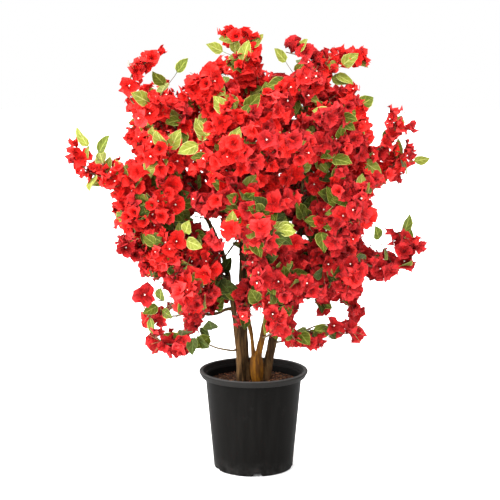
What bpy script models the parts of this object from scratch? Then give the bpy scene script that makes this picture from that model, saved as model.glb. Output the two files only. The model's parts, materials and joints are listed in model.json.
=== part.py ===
"""Potted artificial bougainvillea: silk blossom and leaves on natural wood stems in a nursery pot.

Metres, +Z up. The origin is the middle of the pot's underside, and the front is towards -Y.
The limbs come first, then one leader for each mass of foliage, then the twigs, blossom and
leaves that branch from the leader by a seeded rule.
"""

import math
import random
from collections import namedtuple

import bmesh
import bpy
import numpy as np
from mathutils import Matrix, Vector
from mathutils.bvhtree import BVHTree

# Pot: an eleven-inch nursery pot with a rolled rim, an inner ledge and five drain notches.
POT_HEIGHT = 0.257
POT_FOOT_RADIUS = 0.1015
POT_SHOULDER_RADIUS = 0.1235
POT_SHOULDER_HEIGHT = 0.2352
POT_RIM_RADIUS = 0.140
POT_WALL = 0.0025
POT_SIDES = 40
LEDGE_DROP = 0.0125
LEDGE_WIDTH = 0.003
CHANNEL_DEPTH = 0.010
CHANNEL_INNER_RADIUS = 0.030
CHANNEL_OUTER_RADIUS = 0.0895
DRAIN_COUNT = 5
DRAIN_FIRST_AZIMUTH = math.radians(-84.3)
DRAIN_BOTTOM_WIDTH = 0.027
DRAIN_TOP_WIDTH = 0.017
DRAIN_HEIGHT = 0.0092

# Fill: level where the stems stand, and a little lower at the wall.
FILL_TOP_HEIGHT = 0.2270
FILL_EDGE_HEIGHT = 0.2245
FILL_FLAT_RADIUS = 0.075

# Clearance that touching solids keep.
GAP = 0.0003

# Limbs.
STEM_SIDES = 8
BOUGH_SIDES = 6
STEM_RINGS = 9
STUMP_RINGS = 4
BOUGH_RINGS = 5
ROOT_FLARE = 0.28
FLARE_HEIGHT = 0.022
FORK_HEIGHT = 0.318
BOUGH_TIP_RADIUS = 0.0038
BOUGH_SAG = 0.12
ROOT_STUB = 0.012

# Crown.
CROWN_MIDDLE = Vector((-0.015, 0.0, 0.62))
LEADER_RADIUS = 0.0038
LEADER_TIP_RADIUS = 0.0026
LEADER_RINGS = 7
LEADER_CLEARANCE = 0.006
TWIG_RADII = (0.0013, 0.0020, 0.0015)
TWIG_CLEARANCE = 0.005
ROOT_SPACING = 0.015
SPACE_MARGIN = 0.004
TIER_TIP_REACH = 0.060
GOLDEN_ANGLE = math.pi * (3.0 - math.sqrt(5.0))

# How a leader finds its root: the places tried along a limb, and what a turn or a climb costs.
SIDE_PLACES = [k / 25 for k in range(4, 24)]
TURN_COST = 1.5
CLIMB_COST = 0.7
CLIMB_LEAST = 0.06

# How a twig, a blossom and a leaf stand: the shares of sideways, forwards and out of the crown.
TWIG_WAY = (0.90, 0.30, 0.45)
TWIG_TURN = 1.5 * GOLDEN_ANGLE
TWIG_LENGTHS_TRIED = (1.0, 0.8, 0.6)
TWIG_DROOP = (0.10, 0.30)
BLOSSOM_WAY = (0.90, 0.0, 0.45)
TIP_BLOSSOM_WAY = (0.0, 1.0, 0.35)
LEAF_WAY = (1.0, 0.25, 0.50)

# Blossom and leaves, larger than life because they are fewer here than on the real plant.
BLOSSOM_SPACING = 0.034
BRACT_TIP = (1.0, 0.82)
BRACT_NOTCH = (0.66, 0.62)
HEART_RISE = 0.66
LEAF_LENGTH = 0.064
LEAF_WIDTH = 0.038
LEAF_THICKNESS = 0.0020
LEAF_WIDEST = 0.38
LEAF_TIP_DROP = 0.06
TRIES = 2
RETRY_TURN = math.radians(130.0)
SUNK = 0.0003

# Fineness of the curves and of the tests along them.
CURVE_STEPS = 12
START_PULL = 1.6
TEST_STEPS = 4

# Colours, linear.
BLACK_PLASTIC = (0.016, 0.016, 0.017, 1.0)
FILL_BROWN = (0.085, 0.030, 0.014, 1.0)
BARK_BROWN = (0.090, 0.058, 0.034, 1.0)
PALE_WOOD = (0.240, 0.110, 0.030, 1.0)
SILK_RED = (0.720, 0.020, 0.018, 1.0)

Stem = namedtuple("Stem", "name foot knots foot_radius tip_radius")
Bough = namedtuple("Bough", "name parent share tip radius")
Tier = namedtuple("Tier", "name count height radius_x radius_y first_azimuth tip_rise")
Streamer = namedtuple("Streamer", "name start bend tip")
Limb = namedtuple("Limb", "name points radii sides level_rings finish")
Leader = namedtuple("Leader", "name points habit")
Habit = namedtuple("Habit", "twigs twig_span twig_length blossom_radius bare leaves floor")

# What grows on a leader: its twigs and where they stand, then the size of its blossom, the share
# of it that is bare of blossom, where its leaves stand, and the height that nothing hangs below.
MASS = Habit(5, (0.30, 0.92), (0.085, 0.125), 0.041, 0.62, (0.36, 0.52), 0.335)
STREAMER = Habit(4, (0.38, 1.02), (0.060, 0.085), 0.031, 0.50, (0.30, 0.42), 0.300)
TWIG_BARE = 0.30
TWIG_LEAVES = (0.36,)

# A stem runs from its foot on the fill through its knots, and the last knot is its tip.
STEMS = (
    Stem("stem_left", (-0.0335, -0.012),
         ((-0.0405, -0.010, 0.333), (-0.056, -0.004, 0.445), (-0.083, 0.0, 0.570), (-0.162, 0.0, 0.735)),
         0.0085, 0.0050),
    Stem("stem_centre", (-0.019, 0.011),
         ((-0.0260, 0.009, 0.331), (-0.027, 0.004, 0.500), (-0.024, 0.0, 0.600), (-0.006, 0.0, 0.805)),
         0.0118, 0.0055),
    Stem("stem_right", (0.0285, 0.012),
         ((0.061, 0.012, 0.382), (0.094, 0.010, 0.514), (0.149, 0.0, 0.748)),
         0.0112, 0.0050),
)
# The pale stem is a short stump with two thinner arms.
PALE_STUMP = Stem("stem_pale", (0.009, -0.018), ((0.008, -0.019, 0.270), (0.006, -0.020, FORK_HEIGHT)),
                  0.0150, 0.0132)
PALE_ARMS = (
    Stem("pale_arm_left", (-0.0012, -0.020),
         ((-0.007, -0.021, 0.362), (-0.014, -0.032, 0.400), (-0.022, -0.060, 0.450)), 0.0054, 0.0042),
    Stem("pale_arm_right", (0.0124, -0.020),
         ((0.026, -0.020, 0.362), (0.033, -0.025, 0.408), (0.050, -0.052, 0.520)), 0.0062, 0.0042),
)
# Share is how far along its parent the bough leaves it.
BOUGHS = (
    Bough("bough_left_low", "stem_left", 0.36, (-0.140, -0.030, 0.412), 0.0040),
    Bough("bough_left_front", "stem_left", 0.68, (-0.218, -0.080, 0.655), 0.0048),
    Bough("bough_left_back", "stem_left", 0.55, (-0.185, 0.110, 0.580), 0.0048),
    Bough("bough_centre_front", "stem_centre", 0.70, (-0.045, -0.130, 0.800), 0.0050),
    Bough("bough_centre_back", "stem_centre", 0.55, (0.000, 0.155, 0.690), 0.0050),
    Bough("bough_centre_top", "stem_centre", 0.84, (-0.100, 0.100, 0.865), 0.0046),
    Bough("bough_right_front", "stem_right", 0.72, (0.120, -0.130, 0.770), 0.0048),
    Bough("bough_right_back", "stem_right", 0.60, (0.145, 0.145, 0.690), 0.0048),
    Bough("bough_right_low", "stem_right", 0.44, (0.210, 0.000, 0.530), 0.0044),
)

# The crown's masses stand in rings, one above the other.
TIERS = (
    Tier("skirt", 5, 0.460, 0.180, 0.170, -5.0, -0.020),
    Tier("low", 7, 0.560, 0.215, 0.210, 25.0, -0.020),
    Tier("waist", 6, 0.705, 0.250, 0.225, 30.0, 0.005),
    Tier("shoulder", 6, 0.860, 0.215, 0.195, 30.0, 0.020),
    Tier("top", 3, 0.970, 0.105, 0.085, 90.0, 0.040),
)

# Streamers are the long hooked sprigs that break the outline: where each one clears the crown,
# where it bends, and its tip.
STREAMERS = (
    Streamer("streamer_left", (-0.340, -0.020, 0.742), (-0.415, -0.030, 0.770), (-0.440, -0.030, 0.832)),
    Streamer("streamer_left_high", (-0.308, 0.010, 0.945), (-0.300, 0.010, 1.020), (-0.240, 0.010, 1.058)),
    Streamer("streamer_top", (-0.004, 0.000, 1.038), (-0.020, -0.005, 1.104), (-0.084, -0.010, 1.099)),
    Streamer("streamer_top_right", (0.140, -0.010, 0.985), (0.145, -0.010, 1.055), (0.080, -0.015, 1.068)),
    Streamer("streamer_right_top", (0.177, 0.020, 1.012), (0.212, 0.020, 1.070), (0.266, 0.015, 1.054)),
    Streamer("streamer_right_high", (0.325, -0.010, 0.835), (0.362, -0.010, 0.872), (0.352, -0.015, 0.912)),
    Streamer("streamer_right", (0.315, 0.010, 0.760), (0.350, 0.005, 0.783), (0.382, 0.000, 0.820)),
    Streamer("streamer_right_hook", (0.315, -0.020, 0.525), (0.388, -0.030, 0.545), (0.360, -0.035, 0.628)),
    Streamer("streamer_right_low", (0.172, -0.050, 0.388), (0.226, -0.060, 0.362), (0.272, -0.060, 0.388)),
    Streamer("streamer_front_low", (0.078, -0.100, 0.394), (0.097, -0.125, 0.354), (0.148, -0.125, 0.364)),
    Streamer("streamer_left_low", (-0.150, -0.060, 0.345), (-0.205, -0.065, 0.332), (-0.258, -0.070, 0.366)),
    Streamer("streamer_left_hook", (-0.205, 0.000, 0.395), (-0.278, -0.005, 0.410), (-0.284, -0.010, 0.484)),
    Streamer("streamer_back", (0.030, 0.310, 0.640), (0.070, 0.375, 0.660), (0.075, 0.395, 0.720)),
    Streamer("streamer_back_left", (-0.190, 0.260, 0.850), (-0.240, 0.330, 0.890), (-0.240, 0.345, 0.955)),
)


def spread(dense, count):
    """count points at equal distances along a polyline, ends included."""
    steps = [(b - a).length for a, b in zip(dense, dense[1:])]
    total = sum(steps)
    found, at, passed = [dense[0].copy()], 0, 0.0
    for k in range(1, count - 1):
        wanted = total * k / (count - 1)
        while passed + steps[at] < wanted:
            passed += steps[at]
            at += 1
        found.append(dense[at].lerp(dense[at + 1], (wanted - passed) / steps[at]))
    return [*found, dense[-1].copy()]


def curve(knots, rings, start_way=None):
    """Evenly spread points of a smooth curve through the knots. It sets out along start_way if given."""
    knots = [Vector(k) for k in knots]
    before = 2 * knots[0] - knots[1]
    if start_way is not None:
        before = knots[1] - START_PULL * (knots[1] - knots[0]).length * start_way
    padded = [before, *knots, 2 * knots[-1] - knots[-2]]
    dense = [knots[0]]
    for a, b, c, d in zip(padded, padded[1:], padded[2:], padded[3:]):
        for step in range(1, CURVE_STEPS + 1):
            t = step / CURVE_STEPS
            bend = (2 * a - 5 * b + 4 * c - d) * t * t + (3 * b - a - 3 * c + d) * t**3
            dense.append(0.5 * (2 * b + (c - a) * t + bend))
    return spread(dense, rings)


def rooted_curve(root, out, knots, rings):
    """A curve with a short straight stub at its root, square to what carries it."""
    stub = root + ROOT_STUB * out
    return [root, *curve([stub, *knots], rings - 1, out)]


def at_share(points, share):
    """(point, direction) at a share of the way through a polyline's points."""
    place = max(0.0, min(share, 1.0)) * (len(points) - 1)
    k = min(int(place), len(points) - 2)
    return points[k].lerp(points[k + 1], place - k), (points[k + 1] - points[k]).normalized()


def walk_back(points, distance):
    """(point, direction) at a distance back from the end of a polyline."""
    for a, b in zip(points[-2::-1], points[:0:-1]):
        step = (b - a).length
        if distance <= step:
            break
        distance -= step
    return b.lerp(a, min(distance / step, 1.0)), (b - a).normalized()


def square_to(direction, axis):
    """The part of direction that is square to axis, one unit long."""
    flat = direction - direction.dot(axis) * axis
    if flat.length < 1e-6:
        flat = axis.orthogonal()
    return flat.normalized()


def tube_data(points, radii, sides):
    """(vertices, faces) of a closed tube, its ends cut square to the curve."""
    last = len(points) - 1
    tangents = [(points[min(k + 1, last)] - points[max(k - 1, 0)]).normalized() for k in range(last + 1)]
    normal = Vector((1.0, 0.3, 0.1))
    vertices, faces = [], []
    for point, radius, tangent in zip(points, radii, tangents):
        normal = square_to(normal, tangent)
        side = tangent.cross(normal)
        for k in range(sides):
            angle = 2 * math.pi * k / sides
            vertices.append(point + radius * (math.cos(angle) * normal + math.sin(angle) * side))
    for ring in range(last):
        for k in range(sides):
            a, b = ring * sides + k, ring * sides + (k + 1) % sides
            faces.append((a, b, b + sides, a + sides))
    faces.append(tuple(range(sides - 1, -1, -1)))
    faces.append(tuple(range(last * sides, (last + 1) * sides)))
    return vertices, faces


def blossom_data(base, axis, spin, size):
    """(vertices, faces) of three bracts in a shallow funnel whose root lies in the twig at base."""
    turn = Matrix.Rotation(spin, 3, axis)
    across = axis.orthogonal().normalized()
    vertices = [base - SUNK * axis, base + HEART_RISE * size * axis]
    for k in range(6):
        out = turn @ (Matrix.Rotation(k * math.pi / 3, 3, axis) @ across)
        reach, rise = BRACT_TIP if k % 2 == 0 else BRACT_NOTCH
        vertices.append(base + size * (reach * out + rise * axis))
    faces = []
    for tip in (2, 4, 6):
        left, right = tip + 1, (tip - 3) % 6 + 2
        faces += [(0, left, right), (left, tip, right), (1, right, tip), (1, tip, left)]
    return vertices, faces


def leaf_data(base, along, up, length):
    """(vertices, faces) of a leaf with a ridge on its rib, its foot in the twig at base."""
    up = square_to(up, along)
    side = 0.5 * length * LEAF_WIDTH / LEAF_LENGTH * along.cross(up)
    wide = base + LEAF_WIDEST * length * along
    vertices = [
        base - SUNK * along,
        wide + side,
        base + length * along - LEAF_TIP_DROP * length * up,
        wide - side,
        wide + LEAF_THICKNESS * up,
    ]
    faces = [(4, 1, 0), (4, 2, 1), (4, 3, 2), (4, 0, 3), (0, 1, 3), (1, 2, 3)]
    return vertices, faces


def material(name, colour, roughness):
    found = bpy.data.materials.new(name)
    found.use_nodes = True
    shader = found.node_tree.nodes["Principled BSDF"]
    shader.inputs["Base Color"].default_value = colour
    shader.inputs["Roughness"].default_value = roughness
    return found


def mesh_object(name, data, finish, smooth=False):
    """A linked object from (vertices, faces), its faces turned outwards."""
    mesh = bpy.data.meshes.new(name)
    mesh.from_pydata(data[0], [], data[1])
    shape = bmesh.new()
    shape.from_mesh(mesh)
    bmesh.ops.recalc_face_normals(shape, faces=shape.faces)
    shape.to_mesh(mesh)
    shape.free()
    if smooth:
        mesh.shade_smooth()
    mesh.materials.append(finish)
    made = bpy.data.objects.new(name, mesh)
    bpy.context.scene.collection.objects.link(made)
    return made


def turned(name, profile, sides, finish):
    """A solid of revolution about Z. The profile starts and ends on the axis."""
    vertices, rings = [], []
    for radius, height in profile:
        if radius == 0.0:
            rings.append([len(vertices)])
            vertices.append(Vector((0.0, 0.0, height)))
            continue
        rings.append(list(range(len(vertices), len(vertices) + sides)))
        for k in range(sides):
            angle = 2 * math.pi * k / sides
            vertices.append(Vector((radius * math.cos(angle), radius * math.sin(angle), height)))
    faces = []
    for low, high in zip(rings, rings[1:]):
        for k in range(sides):
            n = (k + 1) % sides
            corners = [low[k % len(low)], low[n % len(low)], high[n % len(high)], high[k % len(high)]]
            faces.append(tuple(dict.fromkeys(corners)))
    return mesh_object(name, (vertices, faces), finish, smooth=True)


def join(base, others, operation, solver):
    """Applies one Boolean of all the others to base, and removes them."""
    group = bpy.data.collections.new(base.name + "_others")
    for other in others:
        bpy.context.scene.collection.objects.unlink(other)
        group.objects.link(other)
    bpy.context.scene.collection.children.link(group)
    step = base.modifiers.new("join", "BOOLEAN")
    step.operation = operation
    step.solver = solver
    step.operand_type = "COLLECTION"
    step.collection = group
    bpy.context.view_layer.update()
    graph = bpy.context.evaluated_depsgraph_get()
    made = bpy.data.meshes.new_from_object(base.evaluated_get(graph), depsgraph=graph)
    base.modifiers.remove(step)
    base.data = made
    for other in others:
        bpy.data.objects.remove(other)
    bpy.data.collections.remove(group)


def drop_scraps(thing):
    """Deletes whatever is loose from the largest body of a mesh object."""
    shape = bmesh.new()
    shape.from_mesh(thing.data)
    left, bodies = set(shape.verts), []
    while left:
        body, edge = set(), [left.pop()]
        while edge:
            vertex = edge.pop()
            body.add(vertex)
            near = {link.other_vert(vertex) for link in vertex.link_edges} & left
            left -= near
            edge += near
        bodies.append(body)
    bodies.sort(key=len)
    bmesh.ops.delete(shape, geom=[vertex for body in bodies[:-1] for vertex in body], context="VERTS")
    shape.to_mesh(thing.data)
    shape.free()


def inner_radius(height):
    """The radius of the pot wall's inner face below the ledge."""
    share = height / POT_SHOULDER_HEIGHT
    return POT_FOOT_RADIUS + (POT_SHOULDER_RADIUS - POT_FOOT_RADIUS) * share - POT_WALL


def pot_profile():
    """The pot's outline as (radius, height), from the underside over the rim to the floor."""
    ledge = POT_HEIGHT - LEDGE_DROP
    floor = CHANNEL_DEPTH + POT_WALL
    return (
        (0.0, 0.0),
        (CHANNEL_INNER_RADIUS, 0.0),
        (CHANNEL_INNER_RADIUS + 0.004, CHANNEL_DEPTH),
        (CHANNEL_OUTER_RADIUS, CHANNEL_DEPTH),
        (CHANNEL_OUTER_RADIUS + 0.003, 0.0),
        (POT_FOOT_RADIUS - 0.0065, 0.0),
        (POT_FOOT_RADIUS - 0.0015, 0.0040),
        (POT_FOOT_RADIUS + 0.0008, 0.0110),
        (POT_SHOULDER_RADIUS, POT_SHOULDER_HEIGHT),
        (POT_RIM_RADIUS - 0.0060, POT_SHOULDER_HEIGHT + 0.0020),
        (POT_RIM_RADIUS - 0.0012, POT_SHOULDER_HEIGHT + 0.0060),
        (POT_RIM_RADIUS, POT_SHOULDER_HEIGHT + 0.0115),
        (POT_RIM_RADIUS - 0.0022, POT_HEIGHT - 0.0036),
        (POT_RIM_RADIUS - 0.0070, POT_HEIGHT),
        (POT_RIM_RADIUS - 0.0110, POT_HEIGHT - 0.0012),
        (inner_radius(ledge) + LEDGE_WIDTH, ledge + 0.0015),
        (inner_radius(ledge), ledge),
        (inner_radius(floor), floor),
        (0.0, floor),
    )


def drain_cutter(index):
    """A wedge that cuts one drain notch through the foot."""
    low = -0.004
    slope = 0.5 * (DRAIN_BOTTOM_WIDTH - DRAIN_TOP_WIDTH) / DRAIN_HEIGHT
    half_low = 0.5 * DRAIN_BOTTOM_WIDTH - slope * low
    half_high = 0.5 * DRAIN_TOP_WIDTH
    near, far = CHANNEL_OUTER_RADIUS - 0.012, POT_FOOT_RADIUS + 0.012
    outline = ((-half_low, low), (half_low, low), (half_high, DRAIN_HEIGHT), (-half_high, DRAIN_HEIGHT))
    vertices = [Vector((reach, y, z)) for reach in (near, far) for y, z in outline]
    faces = [(0, 1, 2, 3), (4, 7, 6, 5), (0, 4, 5, 1), (1, 5, 6, 2), (2, 6, 7, 3), (3, 7, 4, 0)]
    turn = Matrix.Rotation(DRAIN_FIRST_AZIMUTH + 2 * math.pi * index / DRAIN_COUNT, 3, "Z")
    return [turn @ v for v in vertices], faces


def make_pot(finish):
    pot = turned("pot", pot_profile(), POT_SIDES, finish)
    cutters = [mesh_object(f"drain_{k}", drain_cutter(k), finish) for k in range(DRAIN_COUNT)]
    join(pot, cutters, "DIFFERENCE", "EXACT")


def make_fill(finish):
    """The pot's fill, clear of the pot all round."""
    low = CHANNEL_DEPTH + POT_WALL + GAP
    edge = inner_radius(FILL_EDGE_HEIGHT) - 2 * GAP
    profile = (
        (0.0, low),
        (inner_radius(low) - 2 * GAP, low),
        (edge, FILL_EDGE_HEIGHT),
        (FILL_FLAT_RADIUS, FILL_TOP_HEIGHT),
        (0.0, FILL_TOP_HEIGHT),
    )
    turned("fill", profile, POT_SIDES, finish)


def limb_data(limb):
    """(vertices, faces) of a limb, with the rings that are cut level laid level."""
    vertices, faces = tube_data(limb.points, limb.radii, limb.sides)
    for ring in limb.level_rings:
        for vertex in vertices[ring * limb.sides : (ring + 1) * limb.sides]:
            vertex.z = limb.points[ring].z
    return vertices, faces


def bark_flat(limb, share, wanted):
    """(point, normal) of the limb's flat that faces the wanted way, at a share of its rings."""
    vertices, _ = limb_data(limb)
    place = share * (len(limb.points) - 1)
    ring = min(int(place), len(limb.points) - 2)
    heart, _ = at_share(limb.points, share)
    flats = []
    for k in range(limb.sides):
        low = [vertices[ring * limb.sides + j % limb.sides] for j in (k, k + 1)]
        high = [vertices[(ring + 1) * limb.sides + j % limb.sides] for j in (k, k + 1)]
        left, right = (a.lerp(b, place - ring) for a, b in zip(low, high))
        middle = 0.5 * (left + right)
        normal = (right - left).cross(high[0] - low[0]).normalized()
        if normal.dot(middle - heart) < 0.0:
            normal.negate()
        flats.append((normal.dot(wanted), k, middle, normal))
    return max(flats)[2:]


def stem_limb(stem, foot_height, sides, rings, level_rings, flare, finish):
    """A stem from its level cut at foot_height, thickened by its flare just above it."""
    points = curve([(*stem.foot, foot_height), *stem.knots], rings)
    radii = []
    for k, point in enumerate(points):
        radius = stem.foot_radius + (stem.tip_radius - stem.foot_radius) * k / (rings - 1)
        radii.append(radius * (1.0 + flare * math.exp((foot_height - point.z) / FLARE_HEIGHT)))
    return Limb(stem.name, points, radii, sides, level_rings, finish)


def bough_limb(bough, parent, finish):
    """A bough that leaves a flat of its parent, sags a little and rises to its tip."""
    heart, along = at_share(parent.points, bough.share)
    tip = Vector(bough.tip)
    place, out = bark_flat(parent, bough.share, square_to(tip - heart, along))
    root = place + GAP * out
    sag = Vector((0.0, 0.0, -BOUGH_SAG * (tip - root).length))
    points = rooted_curve(root, out, [root.lerp(tip, 0.55) + sag, tip], BOUGH_RINGS)
    taper = (BOUGH_TIP_RADIUS - bough.radius) / (BOUGH_RINGS - 1)
    radii = [bough.radius + taper * k for k in range(BOUGH_RINGS)]
    return Limb(bough.name, points, radii, BOUGH_SIDES, (), finish)


def work_out_limbs(bark, pale):
    """All limbs by name, each one before those that it carries."""
    foot = FILL_TOP_HEIGHT + GAP
    limbs = [stem_limb(stem, foot, STEM_SIDES, STEM_RINGS, (0,), ROOT_FLARE, bark) for stem in STEMS]
    limbs.append(stem_limb(PALE_STUMP, foot, STEM_SIDES, STUMP_RINGS, (0, STUMP_RINGS - 1), ROOT_FLARE, pale))
    for arm in PALE_ARMS:
        limbs.append(stem_limb(arm, FORK_HEIGHT + GAP, BOUGH_SIDES, BOUGH_RINGS, (0,), 0.0, pale))
    found = {limb.name: limb for limb in limbs}
    for bough in BOUGHS:
        found[bough.name] = bough_limb(bough, found[bough.parent], bark)
    return found


def segments(lines):
    """(starts, ends, owner index) of the segments of several polylines, as arrays."""
    starts, ends, owner = [], [], []
    for index, points in enumerate(lines):
        starts += [tuple(p) for p in points[:-1]]
        ends += [tuple(p) for p in points[1:]]
        owner += [index] * (len(points) - 1)
    return np.array(starts), np.array(ends), np.array(owner)


def distances(points, starts, ends):
    """The distance of each point to each segment."""
    points = np.array([tuple(p) for p in points])[:, None, :]
    run = ends - starts
    share = np.clip(((points - starts) * run).sum(2) / np.maximum((run * run).sum(1), 1e-12), 0.0, 1.0)
    return np.linalg.norm(points - (starts + share[..., None] * run), axis=2)


def clear_of(points, lines, radii, clearance):
    """True if every point keeps clear of all the polylines."""
    if not lines:
        return True
    starts, ends, owner = segments(lines)
    reach = np.array(radii)[owner] + clearance
    return bool((distances(points, starts, ends) > reach).all())


def finer(points):
    return spread(points, (len(points) - 1) * TEST_STEPS + 1)


def mass_targets():
    """(name, habit, knots) of every mass: what its leader runs through after its root."""
    found = [(streamer.name, STREAMER, [Vector(p) for p in streamer[1:]]) for streamer in STREAMERS]
    for tier in TIERS:
        for k in range(tier.count):
            angle = math.radians(tier.first_azimuth) + 2 * math.pi * k / tier.count
            out = Vector((math.cos(angle), math.sin(angle), 0.0))
            spot = Vector((CROWN_MIDDLE.x + tier.radius_x * out.x, tier.radius_y * out.y, tier.height))
            tip = spot + TIER_TIP_REACH * out + Vector((0.0, 0.0, tier.tip_rise))
            found.append((f"{tier.name}_{k + 1}", MASS, [spot, tip]))
    return found


class Leaders:
    """The leader of each mass, rooted on the limbs with a clear way between them."""

    def __init__(self, limbs):
        self.limbs = limbs
        self.lines = [limb.points for limb in limbs.values()]
        self.radii = [max(limb.radii) for limb in limbs.values()]
        self.roots = [limb.points[0] for limb in limbs.values()]
        self.found = {}

    def add(self, name, habit, knots, root, out):
        """Adds the leader unless something is in its way. True if it was added."""
        points = rooted_curve(root, out, knots, LEADER_RINGS)
        tested = [p for p in finer(points) if (p - root).length > ROOT_STUB]
        others = [leader.points for leader in self.found.values()]
        if not clear_of(tested, self.lines, self.radii, LEADER_CLEARANCE):
            return False
        if not clear_of(tested, others, [LEADER_RADIUS] * len(others), LEADER_CLEARANCE):
            return False
        self.found[name] = Leader(name, points, habit)
        self.roots.append(root)
        return True

    def carry_on_tips(self, targets):
        """Each limb's tip carries on into the mass that lies best ahead of it."""
        pairs = []
        for limb in self.limbs.values():
            if limb.name == PALE_STUMP.name:
                continue
            along = (limb.points[-1] - limb.points[-2]).normalized()
            root = limb.points[-1] + GAP * along
            for row in targets:
                way = row[2][0] - root
                turn = 1.0 - along.dot(way.normalized())
                pairs.append((way.length * (1.0 + TURN_COST * turn), limb.name, row, root, along))
        served = set()
        for _, limb_name, row, root, along in sorted(pairs, key=lambda pair: pair[0]):
            if limb_name not in served and row[0] not in self.found and self.add(*row, root, along):
                served.add(limb_name)

    def root_on_sides(self, targets):
        """The other masses root on the nearest flat of a limb."""
        for name, habit, knots in targets:
            if name in self.found:
                continue
            places = []
            for limb in self.limbs.values():
                if limb.name == PALE_STUMP.name:
                    continue
                for share in SIDE_PLACES:
                    heart, along = at_share(limb.points, share)
                    place, out = bark_flat(limb, share, square_to(knots[0] - heart, along))
                    climb = max(0.0, place.z - knots[0].z + CLIMB_LEAST)
                    places.append(((knots[0] - place).length + CLIMB_COST * climb, place + GAP * out, out))
            for _, root, out in sorted(places, key=lambda place: place[0]):
                apart = min((root - other).length for other in self.roots) > ROOT_SPACING
                if apart and self.add(name, habit, knots, root, out):
                    break
            else:
                raise ValueError(f"no clear way to {name}")


def twig_line(start, way, length, droop):
    """A twig that sets out along way and sinks under its own weight."""
    shares = [k / (len(TWIG_RADII) - 1) for k in range(len(TWIG_RADII))]
    return [start + length * (share * way - Vector((0.0, 0.0, droop * share * share))) for share in shares]


def away(place):
    """The way out of the crown at a place."""
    return (place - CROWN_MIDDLE).normalized()


def around(along, angle):
    """A direction square to along, turned about it by an angle."""
    return Matrix.Rotation(angle, 3, along) @ along.orthogonal().normalized()


def way_from(place, along, side, shares):
    """A direction from its shares of sideways, forwards and out of the crown."""
    return (shares[0] * side + shares[1] * along + shares[2] * away(place)).normalized()


def work_out_twigs(leaders, limbs):
    """{mass name: [twig]} by a seeded rule. A twig that would leave its mass's space is cut short."""
    names = list(leaders)
    starts, ends, owner = segments([leader.points for leader in leaders.values()])
    lines = [limb.points for limb in limbs.values()]
    radii = [max(limb.radii) for limb in limbs.values()]
    twigs = {}
    for index, name in enumerate(names):
        leader = leaders[name]
        draw = random.Random("twigs " + name)
        habit, (low, high) = leader.habit, leader.habit.twig_span
        twigs[name] = []
        for k in range(habit.twigs):
            start, along = at_share(leader.points, low + (high - low) * (k + 0.5) / habit.twigs)
            side = around(along, k * TWIG_TURN + draw.uniform(-0.4, 0.4))
            way = way_from(start, along, side, TWIG_WAY)
            length = draw.uniform(*habit.twig_length)
            droop = draw.uniform(*TWIG_DROOP)
            for shorter in TWIG_LENGTHS_TRIED:
                line = twig_line(start, way, length * shorter, droop)
                near = distances(finer(line)[3:], starts, ends)
                own = near[:, owner == index].min(axis=1)
                other = near[:, owner != index].min(axis=1)
                above = min(point.z for point in line) > habit.floor + TWIG_CLEARANCE
                apart = above and (own + TWIG_CLEARANCE < other).all()
                if apart and clear_of(finer(line), lines, radii, TWIG_CLEARANCE):
                    twigs[name].append(line)
                    break
    return twigs


def blossom_choices(line, bare, size, draw):
    """Per blossom along a twig or leader, from its tip back, the shapes that may stand there."""
    length = sum((b - a).length for a, b in zip(line, line[1:]))
    found, back = [], 0.0
    while back <= length * (1.0 - bare):
        place, along = walk_back(line, back)
        first = len(found) * GOLDEN_ANGLE + draw.uniform(-0.3, 0.3)
        sides = [around(along, first + turn * RETRY_TURN) for turn in range(TRIES)]
        axes = [way_from(place, along, side, BLOSSOM_WAY) for side in sides]
        if not found:
            axes.insert(0, way_from(place, along, sides[0], TIP_BLOSSOM_WAY))
        spin, radius = draw.uniform(0.0, 2 * math.pi), size * draw.uniform(0.92, 1.06)
        found.append([blossom_data(place, axis, spin, radius) for axis in axes])
        back += BLOSSOM_SPACING * draw.uniform(0.9, 1.1)
    return found


def leaf_choices(line, shares, draw):
    """Per leaf on the lower part of a twig or leader, the shapes that may stand there."""
    found = []
    for share in shares:
        place, along = at_share(line, share + draw.uniform(-0.04, 0.04))
        first, length = draw.uniform(0.0, 2 * math.pi), LEAF_LENGTH * draw.uniform(0.85, 1.05)
        up = away(place) + Vector((0.0, 0.0, 0.6))
        sides = [around(along, first + turn * RETRY_TURN) for turn in range(TRIES)]
        found.append([leaf_data(place, way_from(place, along, side, LEAF_WAY), up, length) for side in sides])
    return found


def tree_of(pieces):
    """One search tree of several (vertices, faces)."""
    vertices, faces = [], []
    for some, corners in pieces:
        faces += [tuple(c + len(vertices) for c in face) for face in corners]
        vertices += some
    return BVHTree.FromPolygons(vertices, faces)


def wood_of(leader, twigs):
    """(vertices, faces) of a mass's leader and of each of its twigs."""
    last = len(leader.points) - 1
    taper = [LEADER_RADIUS + (LEADER_TIP_RADIUS - LEADER_RADIUS) * k / last for k in range(last + 1)]
    return [tube_data(leader.points, taper, 3)] + [tube_data(line, TWIG_RADII, 3) for line in twigs]


def wanted_leafage(leader, twigs, draw):
    """(carrier, choices) of a mass's blossom and then its leaves. Carrier 0 is the leader."""
    habit = leader.habit
    blossom = [(0, blossom_choices(leader.points, habit.bare, habit.blossom_radius, draw))]
    leaves = [(0, leaf_choices(leader.points, habit.leaves, draw))]
    for carrier, line in enumerate(twigs, 1):
        blossom.append((carrier, blossom_choices(line, TWIG_BARE, habit.blossom_radius, draw)))
        leaves.append((carrier, leaf_choices(line, TWIG_LEAVES, draw)))
    return [(carrier, choices) for carrier, rows in blossom + leaves for choices in rows]


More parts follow.
